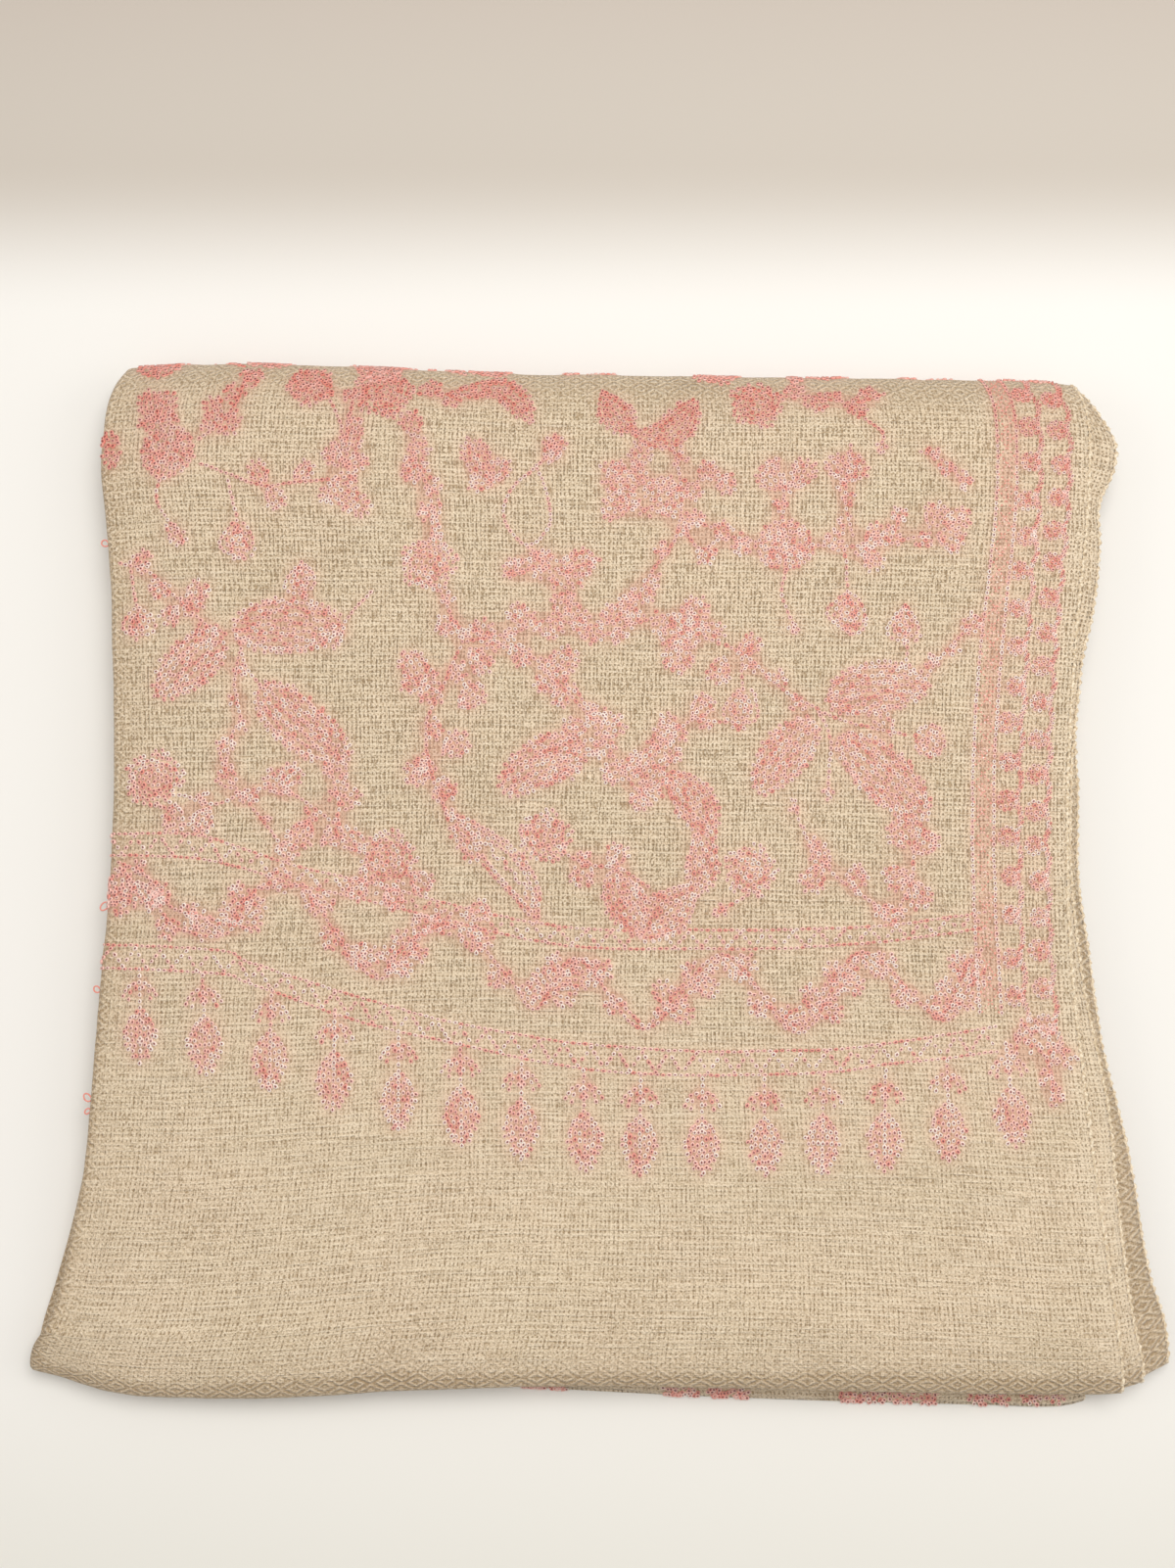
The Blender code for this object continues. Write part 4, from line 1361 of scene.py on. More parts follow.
class Needle:
    """Draws the motifs as rows of stitches. All sizes are millimetres, headings degrees from +X."""

    def __init__(self, seed: int, spacing: float = 2.25) -> None:
        """Take up the needle.

        Args:
            seed: Fixes the hand's unevenness.
            spacing: Distance between neighbouring rows of a filling.
        """
        self.random = np.random.default_rng(seed)
        self.spacing = spacing
        self.rows: list[Row] = []

    def line(self, points: np.ndarray, tone: float = 0.5, kind: Stitch = Stitch.CHAIN, stray: float = 0.25) -> None:
        """Stitch one row along a curve with a hand's small strays."""
        if len(points) < 2:
            return
        shake = self.random.normal(0.0, stray, (len(points), 2))
        shake[1:-1] = (shake[:-2] + shake[1:-1] + shake[2:]) / 2.2
        self.rows.append(Row(points + shake, tone + self.random.normal(0.0, 0.06), kind))

    def vine(self, points: Sequence[Sequence[float]], tone: float = 0.52) -> np.ndarray:
        """Stitch a stem through places and return its curve."""
        curve = curve_through(points)
        self.line(curve, tone)
        return curve

    def spine(self, x: float, y: float, heading: float, length: float, curl: float = 0.0) -> np.ndarray:
        """Draw a leaf's middle line from its base, curling by an angle towards its tip."""
        steps = max(7, int(length / 0.9))
        angle = math.radians(heading) + np.radians(curl) * np.linspace(-0.35, 1.0, steps)
        run = np.cumsum(np.stack([np.cos(angle), np.sin(angle)], axis=1), axis=0) * length / steps
        return np.vstack([[x, y], np.array([x, y]) + run])

    def filled(
        self, spine: np.ndarray, width: float, bulge: float = 0.87, tone: float = 0.5, point: float = 0.95
    ) -> None:
        """Fill a leaf, petal or drop with rows that follow its outline inwards, a spine and a looped edge.

        Args:
            spine: The curve from its base to its tip.
            width: Greatest width.
            bulge: Power of the outline; under 1 it is widest near the base.
            tone: Tone of the silk.
            point: Sharpness of its two ends.
        """
        share = np.linspace(0.0, 1.0, len(spine))
        half = 0.5 * width * np.sin(np.pi * share**bulge) ** point
        aside = sideways(spine)
        self.line(spine[: max(2, int(len(spine) * 0.92))], tone + 0.16, stray=0.15)
        run = length_of(spine)
        for side in (1.0, -1.0):
            inset = 0.3
            while inset < 0.5 * width - 0.45 * self.spacing:
                kept = np.flatnonzero(half - inset > (0.34 if inset < 1.0 else 0.52) * self.spacing)
                if len(kept) >= 3:
                    span = slice(kept[0], kept[-1] + 1)
                    away = aside[span] * (side * np.maximum(half[span] - inset, 0.0))[:, None]
                    self.line(spine[span] + away, tone + self.random.normal(0.0, 0.07), stray=0.16)
                inset += self.spacing
            if run > 8.0:
                self.teeth(spine, aside * side, half, run, tone + 0.12)

    def teeth(self, spine: np.ndarray, away: np.ndarray, half: np.ndarray, run: float, tone: float) -> None:
        """Stitch the small loops that stand out along one edge of a filled leaf and lean towards its tip."""
        for place in np.arange(0.14, 0.86, 3.1 / run):
            at = int(place * (len(spine) - 1))
            ahead = spine[min(at + 1, len(spine) - 1)] - spine[max(at - 1, 0)]
            ahead = ahead / max(float(np.linalg.norm(ahead)), 1e-9)
            start = spine[at] + away[at] * (half[at] - 0.3)
            tip = start + away[at] * self.random.uniform(1.0, 1.6) + ahead * self.random.uniform(1.0, 1.6)
            self.line(np.array([start, tip]), tone + self.random.normal(0.0, 0.08), stray=0.08)

    def leaf(
        self, x: float, y: float, heading: float, length: float, width: float, curl: float = 0.0, **more: float
    ) -> None:
        """Stitch a ragged leaf from its base."""
        self.filled(self.spine(x, y, heading, max(length - 0.3, 1.2), curl), max(width, 0.9), **more)

    def ring(self, curve: np.ndarray, tone: float, gap: float = 3.1, reach: float = 1.9) -> None:
        """Stitch an outline and the short loops that stand out from it."""
        self.line(curve, tone, stray=0.2)
        away = sideways(curve)
        step = max(1, round(gap * (len(curve) - 1) / max(length_of(curve), 0.1)))
        for i in range(1, len(curve) - 1, step):
            tip = curve[i] - away[i] * reach * self.random.uniform(0.6, 1.2) + (curve[i + 1] - curve[i]) * 0.9
            self.line(np.array([curve[i] - away[i] * 0.4, tip]), tone + self.random.normal(0.0, 0.15), stray=0.1)

    def veined(self, x: float, y: float, heading: float, length: float, width: float, curl: float = 0.0) -> None:
        """Stitch a large leaf: a ragged outline round a finely wandering filling."""
        spine = self.spine(x, y, heading, length, curl)
        share = np.linspace(0.0, 1.0, len(spine))
        half = 0.5 * width * np.sin(np.pi * share**0.86) ** 0.62
        aside = sideways(spine)
        ragged = half[:, None] * self.random.uniform(0.93, 1.05, (len(spine), 1))
        self.ring(spine - aside * ragged, 0.52)
        self.ring((spine + aside * ragged)[::-1], 0.52)
        phase = self.random.uniform(0.0, 6.0)
        offset = -0.5 * width + 2.1
        while offset < 0.5 * width - 1.5:
            inside = np.flatnonzero(half - abs(offset) > 1.6)
            if len(inside) > 3:
                span = slice(inside[0], inside[-1] + 1)
                sway = 0.55 * np.sin(share[span] * length / 3.1 + phase + offset * 1.7)
                self.line(spine[span] + aside[span] * (offset + sway)[:, None], 0.52, stray=0.35)
            offset += 2.05

    def spiral(
        self,
        x: float,
        y: float,
        radius: float,
        tone: float = 0.42,
        kind: Stitch = Stitch.CHAIN,
        lobes: int = 0,
        spacing: float = 0.0,
    ) -> None:
        """Stitch a spiral from its eye outwards, its outer turns waved where it has lobes."""
        turns = radius / (spacing or self.spacing)
        steps = max(10, int(turns * 17))
        share = np.linspace(0.10, 1.0, steps)
        angle = share * turns * 2.0 * math.pi + self.random.uniform(0.0, 6.0)
        wave = 0.06 * np.sin(angle * 2.5)
        if lobes:
            wave = 0.15 * share**1.5 * np.cos(lobes * angle + 1.7 * np.floor(share * turns / 1.6))
        curve = round_about(x, y, radius * share * (1.0 + wave), angle)
        part = 9 if lobes else steps
        for start in range(0, steps - 1, part):
            lift = self.random.normal(0.0, 0.12) if lobes else 0.0
            self.line(curve[start : start + part + 1], tone + lift, kind, 0.2)

    def rose(self, x: float, y: float, radius: float, tone: float = 0.50) -> None:
        """Stitch a rose: a full, swirling round of overlapping petals with a ragged rim and deep seams."""
        self.spiral(x, y, radius * 0.93, tone, lobes=5)
        start = self.random.uniform(0.0, 6.0)
        for petal in range(5):
            bend = np.linspace(0.0, 1.0, 7)
            angle = start + petal * 2.0 * math.pi / 5 + 0.9 * bend
            self.line(round_about(x, y, radius * (0.26 + 0.64 * bend), angle), 0.05, Stitch.THREAD, 0.1)
        count = int(2.0 * math.pi * radius / 2.7)
        for turn in 2.0 * math.pi * np.arange(count) / count + self.random.uniform(-0.08, 0.08, count):
            far = radius * (1.0 + 0.10 * math.cos(5.0 * turn)) + self.random.uniform(0.0, 0.9)
            near = far - 2.2
            lean = turn + 0.10
            start = (x + near * math.cos(turn), y + near * math.sin(turn))
            tip = (x + far * math.cos(lean), y + far * math.sin(lean))
            self.line(np.array([start, tip]), tone + 0.15, stray=0.15)

    def bloom(self, x: float, y: float, radius: float, petals: int = 6, turn: float = 0.0, tone: float = 0.50) -> None:
        """Stitch an open flower of full petals round a pale heart."""
        for petal in range(petals):
            heading = turn + petal * 360.0 / petals + self.random.uniform(-7.0, 7.0)
            away = math.radians(heading)
            near = radius * 0.16
            self.leaf(
                x + near * math.cos(away),
                y + near * math.sin(away),
                heading,
                radius * self.random.uniform(0.80, 0.92),
                radius * 5.6 / petals,
                bulge=1.45,
                tone=tone + self.random.normal(0.0, 0.05),
            )
        self.spiral(x, y, radius * 0.22, tone + 0.3)

    def bud(self, x: float, y: float, heading: float, size: float, tone: float = 0.5) -> None:
        """Stitch a bud: a full drop between two curling sepals."""
        self.leaf(x, y, heading, size, size * 0.55, bulge=1.1, tone=tone)
        for side in (-1.0, 1.0):
            self.leaf(x, y, heading + side * 60.0, size * 0.55, size * 0.26, curl=-side * 46.0, tone=tone + 0.1)

    def bell(self, x: float, y: float, heading: float, size: float) -> None:
        """Stitch a bell: a dense column inside an open, loopy hood."""
        down = math.radians(heading)
        middle_x, middle_y = x + 0.5 * size * math.cos(down), y + 0.5 * size * math.sin(down)
        self.spiral(middle_x, middle_y, size * 0.5, 0.72, lobes=3, spacing=2.9)
        self.leaf(x, y, heading, size * 1.15, size * 0.30, bulge=1.1, tone=0.18)

    def cluster(self, x: float, y: float, heading: float, size: float, tone: float = 0.5) -> None:
        """Stitch a leaf of three lobes on a stem."""
        for turn, reach in ((0.0, 1.0), (58.0, 0.72), (-58.0, 0.72)):
            self.leaf(
                x,
                y,
                heading + turn + self.random.uniform(-9.0, 9.0),
                size * reach * self.random.uniform(0.9, 1.12),
                size * 0.58,
                curl=-0.3 * turn,
                tone=tone + self.random.normal(0.0, 0.06),
            )

    def pair(self, x: float, y: float, heading: float, length: float, spread: float = 58.0, curl: float = 34.0) -> None:
        """Stitch two small leaves, one each side of a stem."""
        for side in (-1.0, 1.0):
            size = length * self.random.uniform(0.85, 1.12)
            self.leaf(x, y, heading + side * spread, size, size * 0.44, curl=side * curl, tone=0.5)

    def sprig(self, points: Sequence[Sequence[float]], leaf: float, gap: float, end_bud: float = 0.0) -> None:
        """Stitch a stem with three-lobed leaves by turns on its two sides, and a bud at its end."""
        curve = self.vine(points)
        run = run_along(curve)
        side = 1.0
        place = 0.5 * gap
        while place < run[-1] - 0.25 * gap:
            at = int(np.searchsorted(run, place))
            step = curve[min(at + 1, len(curve) - 1)] - curve[max(at - 1, 0)]
            size = leaf * self.random.uniform(0.85, 1.15)
            self.cluster(curve[at, 0], curve[at, 1], heading_of(*step) + side * 62.0, size)
            side = -side
            place += gap * self.random.uniform(0.85, 1.15)
        if end_bud > 0.0:
            self.bud(curve[-1, 0], curve[-1, 1], heading_of(*(curve[-1] - curve[-3])), end_bud)

    def trellis(self, first: np.ndarray, second: np.ndarray, pitch: float, full: bool = True) -> None:
        """Stitch a band: two chain rails with a pale zigzag between them over fine crossing thread.

        Args:
            first: One rail's curve.
            second: The other's.
            pitch: Length of one zigzag step.
            full: Whether the rails are broad and the zigzag is one line of chain stitch.
        """
        for rail in (first, second):
            self.line(rail, 0.40 if full else 0.78, Stitch.RAIL if full else Stitch.CHAIN, 0.15)
        weaves = [(0, 0.66, Stitch.CHAIN)] if full else [(0, -0.1, Stitch.THREAD), (1, 0.0, Stitch.THREAD)]
        count = max(2, round(length_of(first) / pitch))
        share = np.linspace(0.0, 1.0, count + 1)
        rails = []
        for rail in (first * 0.88 + second * 0.12, first * 0.12 + second * 0.88):
            run = run_along(rail)
            rails.append(read_along(rail, run, share * run[-1]))
        for start, tone, kind in weaves:
            zigzag = [rails[(i + start) % 2][i] + self.random.normal(0.0, 0.35, 2) for i in range(count + 1)]
            for a, b in zip(zigzag[:-1], zigzag[1:]):
                self.line(curve_through([a, b], 2.0), tone, kind, 0.12)

    def rope(self, curve: np.ndarray, tone: float, width: float = 0.75) -> None:
        """Stitch a twisted vine: short stitches that lean across its line by turns."""
        away = sideways(curve)
        for place in range(len(curve)):
            ahead = np.array([-away[place, 1], away[place, 0]]) * -0.75
            ends = np.array([curve[place] - ahead - away[place] * width, curve[place] + ahead + away[place] * width])
            self.line(ends, tone + (0.12 if place % 2 else -0.12), Stitch.ROPE, 0.08)

    def rosette(self, x: float, y: float, radius: float, tone: float = 0.55) -> None:
        """Stitch a rosette: chunky loops round a knotted heart."""
        for share, lift in ((1.0, 0.08), (0.58, -0.12), (0.16, -0.3)):
            turn = np.linspace(0.0, 2.0 * math.pi, 15) + self.random.uniform(0.0, 6.0)
            circle = round_about(x, y, radius * share * (1.0 + 0.04 * np.cos(5.0 * turn)), turn)
            self.line(circle, tone + lift, Stitch.KNOTTED, 0.06)

    def pendant(self, x: float, y: float, lean: float, length: float) -> None:
        """Stitch a pendant below a band: stem, two drooping leaves and a full, ragged drop."""
        down = math.radians(-90.0 + lean)
        step = np.array([math.cos(down), math.sin(down)])
        neck = np.array([x, y]) + step * 0.40 * length
        self.line(curve_through([(x, y), tuple(neck)]), 0.72, stray=0.12)
        cap = np.array([x, y]) + step * 0.13 * length
        for side in (-1.0, 1.0):
            for turn, reach, tone in ((68.0, 0.225, 0.60), (50.0, 0.21, 0.45), (28.0, 0.13, 0.50)):
                heading = math.radians(-90.0 + lean + side * turn)
                bend = math.radians(-90.0 + lean + side * (turn - 34.0))
                middle = cap + 0.55 * reach * length * np.array([math.cos(heading), math.sin(heading)])
                tip = middle + 0.50 * reach * length * np.array([math.cos(bend), math.sin(bend)])
                self.line(curve_through([tuple(cap), tuple(middle), tuple(tip)], 1.2), tone, stray=0.15)
        self.leaf(neck[0], neck[1], -90.0 + lean, 0.64 * length, 0.30 * length, bulge=0.72, tone=0.58, point=1.45)


class LineGraph(NodeGraph):
    """Geometry Nodes that set copies of a small object along a line."""

    def __init__(self, name: str, numbers: dict[str, str]) -> None:
        """Start a tree that takes a line and numbers.

        Args:
            name: The tree's name.
            numbers: The names of its other inputs, with the kinds of their sockets.
        """
        super().__init__(bpy.data.node_groups.new(name, "GeometryNodeTree"))
        face = self.tree.interface
        face.new_socket("Geometry", in_out="INPUT", socket_type="NodeSocketGeometry")
        for title, kind in numbers.items():
            face.new_socket(title, in_out="INPUT", socket_type=kind)
        face.new_socket("Geometry", in_out="OUTPUT", socket_type="NodeSocketGeometry")
        self.start = self.tree.nodes.new("NodeGroupInput")

    def given(self, name: str) -> Value:
        """One of the tree's inputs."""
        return Value(self, self.start.outputs[name])

    def carried(self, name: str, kind: str) -> Value:
        """What the line carries at its points."""
        return self.value("GeometryNodeInputNamedAttribute", {"data_type": kind}, Name=name)

    def chance(self, kind: str, low: object, high: object, seed: object) -> Value:
        """A chance number or direction between two, different at every point."""
        return self.value("FunctionNodeRandomValue", {"data_type": kind}, Min=low, Max=high, Seed=seed)

    def copies(self, thing: bpy.types.Object, points: Value, **sockets: Value) -> Value:
        """Set copies of an object on points."""
        shape = Value(self, self.node("GeometryNodeObjectInfo", None, Object=thing).outputs["Geometry"])
        return self.value("GeometryNodeInstanceOnPoints", None, Points=points, Instance=shape, **sockets)

    def dressed(self, shape: Value, material: bpy.types.Material) -> bpy.types.NodeTree:
        """End the tree: make the copies real, give them their material and hand them out."""
        real = self.value("GeometryNodeRealizeInstances", None, Geometry=shape)
        dressed = self.value("GeometryNodeSetMaterial", None, Geometry=real, Material=material)
        self.node("NodeGroupOutput", None, s0=dressed)
        return self.tree


@dataclass
class ChainStitcher:
    """Turns rows of stitches into links of silk on a sheet, with Geometry Nodes."""

    material: bpy.types.Material
    most_links: int = 13500
    unevenness: float = 0.12
    tone_spread: float = 0.44
    seed: int = 17
    tone_seed: int = 5

    def link(self, kind: Stitch) -> bpy.types.Object:
        """Make one link of chain stitch: a closed teardrop of floss with a sunken eye, and painted shade in the eye and
        round the foot.

        Args:
            kind: The stitch.

        Returns:
            An object that no collection shows.
        """
        _, length, width, height = kind.value
        if kind in (Stitch.THREAD, Stitch.PLAIN):
            outline = ((-0.52, 0.0), (0.10, 0.50), (0.52, 0.0), (0.10, -0.50))
            points = [(x * length, y * width, -0.15) for x, y in outline]
            points.append((0.05 * length, 0.0, height))
            faces = [(3, 2, 1, 0), *((i, (i + 1) % 4, 4) for i in range(4))]
            # Painted shade: the link's foot darker than its crest.
            eye_shades = [0.30] * 4 + [0.0]
        else:
            outline = ((-0.54, 0.0), (-0.04, 0.50), (0.44, 0.31), (0.44, -0.31), (-0.04, -0.50))
            points = [(x * length * 1.06, y * width * 1.14, -0.15) for x, y in outline]
            points += [(0.02 * length + x * length * 0.72, y * width * 0.72, height) for x, y in outline]
            points.append((0.04 * length, 0.0, 0.10))
            faces = [(4, 3, 2, 1, 0), *((i, (i + 1) % 5, 5 + (i + 1) % 5, 5 + i) for i in range(5))]
            faces += [(5 + i, 5 + (i + 1) % 5, 10) for i in range(5)]
            # Painted shade: full in the eye, a little round the link's foot, none on its crest.
            eye_shades = [0.22] * 5 + [0.0] * 5 + [1.0]
        points = [tuple(value * MM for value in point) for point in points]
        mesh = new_mesh("link_" + kind.name.lower(), points, faces=faces)
        shell = bmesh.new()
        shell.from_mesh(mesh)
        bmesh.ops.triangulate(shell, faces=shell.faces[:])
        bmesh.ops.recalc_face_normals(shell, faces=shell.faces[:])
        shell.to_mesh(mesh)
        shell.free()
        mesh.shade_smooth()
        carry(mesh, "eye", eye_shades)
        mesh.materials.append(self.material)
        return bpy.data.objects.new(mesh.name, mesh)

    def tree(self, kind: Stitch) -> bpy.types.NodeTree:
        """Make the node tree that sets links along threads.

        Args:
            kind: The stitch.

        Returns:
            The tree, with the unevenness, the tone's spread and the seed as its named inputs.
        """
        numbers = {"Tone Spread": "NodeSocketFloat", "Unevenness": "NodeSocketFloat", "Seed": "NodeSocketInt"}
        g = LineGraph("chain_" + kind.name.lower(), numbers)
        spread, uneven = g.given("Tone Spread"), g.given("Unevenness")
        line = g.value("GeometryNodeMeshToCurve", None, Mesh=g.given("Geometry"))
        settings = {"data_type": "FLOAT", "operation": "GREATER_THAN"}
        free = g.value("FunctionNodeCompare", settings, s0=g.carried("free", "FLOAT"), s1=0.5)
        settings = {"primary_axis": "Z", "secondary_axis": "X"}
        along = g.value("GeometryNodeInputTangent")
        turn = g.value("FunctionNodeAxesToRotation", settings, s0=g.carried("cloth_normal", "FLOAT_VECTOR"), s1=along)
        size = g.chance("FLOAT", 1.0 - uneven, 1.0 + uneven, g.given("Seed"))
        links = g.copies(self.link(kind), line, Selection=free, Rotation=turn, Scale=size)
        tone = g.carried("row_tone", "FLOAT") + g.chance("FLOAT", spread * -1.0, spread, self.tone_seed)
        settings = {"data_type": "FLOAT", "domain": "INSTANCE"}
        toned = g.value("GeometryNodeStoreNamedAttribute", settings, Geometry=links, Name="silk_tone", Value=tone)
        return g.dressed(toned, self.material)

    def threads(self, name: str, rows: Iterable[Row], sheet: ClothSheet) -> bpy.types.Object:
        """Lay rows on a sheet as bare edges that carry the cloth's normals and the silk's tone."""
        points: list[np.ndarray] = []
        normals: list[np.ndarray] = []
        tones: list[float] = []
        frees: list[float] = []
        edges: list[tuple[int, int]] = []
        total = 0
        for row in rows:
            x, y = row.points[:, 0] * MM, row.points[:, 1] * MM
            place = sheet.from_selvedge(x, y) if row.by_selvedge else sheet.locate(x, y)
            at, normal = sheet.place(*place)
            points.append(at)
            normals.append(normal)
            tones += [row.tone] * len(at)
            frees += row.free.tolist()
            edges += [(total + i, total + i + 1) for i in range(len(at) - 1)]
            total += len(at)
        mesh = new_mesh(name + "_threads", np.concatenate(points).tolist(), edges)
        carry(mesh, "cloth_normal", np.concatenate(normals))
        carry(mesh, "row_tone", tones)
        carry(mesh, "free", frees)
        return shown(mesh.name, mesh)

    def sew(self, name: str, rows: Sequence[Row], sheet: ClothSheet) -> list[bpy.types.Object]:
        """Sew rows onto a sheet.

        Args:
            name: Name of the piece; a number follows where it takes several.
            rows: The rows.
            sheet: The cloth that they lie on.

        Returns:
            The new pieces, each of one mesh.
        """
        groups: list[list[Row]] = [[]]
        count = 0.0
        for row in clear_rows(rows):
            links = float(row.free.sum())
            if count + links > self.most_links:
                groups.append([])
                count = 0.0
            groups[-1].append(row)
            count += links
        made = []
        for number, group in enumerate(groups, start=1):
            meshes = []
            for kind in Stitch:
                chosen = [row for row in group if row.kind is kind]
                if chosen:
                    meshes.append(self.links_along(f"{name}_{kind.name.lower()}", chosen, sheet, kind))
            mesh = joined(name, meshes)
            title = name if len(groups) == 1 else f"{name}_{number}"
            mesh.name = title
            made.append(shown(title, mesh))
        return made

    def links_along(self, name: str, rows: Sequence[Row], sheet: ClothSheet, kind: Stitch) -> bpy.types.Mesh:
        """Run the node tree of one kind of stitch along rows and return the plain mesh."""
        thing = self.threads(name, rows, sheet)
        modifier = thing.modifiers.new("links", "NODES")
        modifier.node_group = self.tree(kind)
        set_inputs(modifier, {"Unevenness": self.unevenness, "Tone Spread": self.tone_spread, "Seed": self.seed})
        return taken_out(thing)


def set_inputs(modifier: bpy.types.Modifier, values: dict[str, object]) -> None:
    """Set a node modifier's inputs by the identifiers of their sockets."""
    for item in modifier.node_group.interface.items_tree:
        if item.item_type == "SOCKET" and item.in_out == "INPUT" and item.name in values:
            modifier[item.identifier] = values[item.name]


def taken_out(thing: bpy.types.Object) -> bpy.types.Mesh:
    """Take an object's evaluated shape as a plain mesh and remove the object with its modifier."""
    graph = bpy.context.evaluated_depsgraph_get()
    mesh = bpy.data.meshes.new_from_object(thing.evaluated_get(graph), depsgraph=graph)
    thing.modifiers.clear()
    bpy.data.objects.remove(thing, do_unlink=True)
    return mesh


def joined(name: str, meshes: Sequence[bpy.types.Mesh]) -> bpy.types.Mesh:
    """Join meshes into one that keeps the first one's material and all attributes."""
    if len(meshes) == 1:
        return meshes[0]
    things = [shown(f"{name}_part{number}", mesh) for number, mesh in enumerate(meshes)]
    with bpy.context.temp_override(active_object=things[0], selected_editable_objects=things):
        bpy.ops.object.join()
    mesh = things[0].data
    bpy.data.objects.remove(things[0], do_unlink=True)
    return mesh


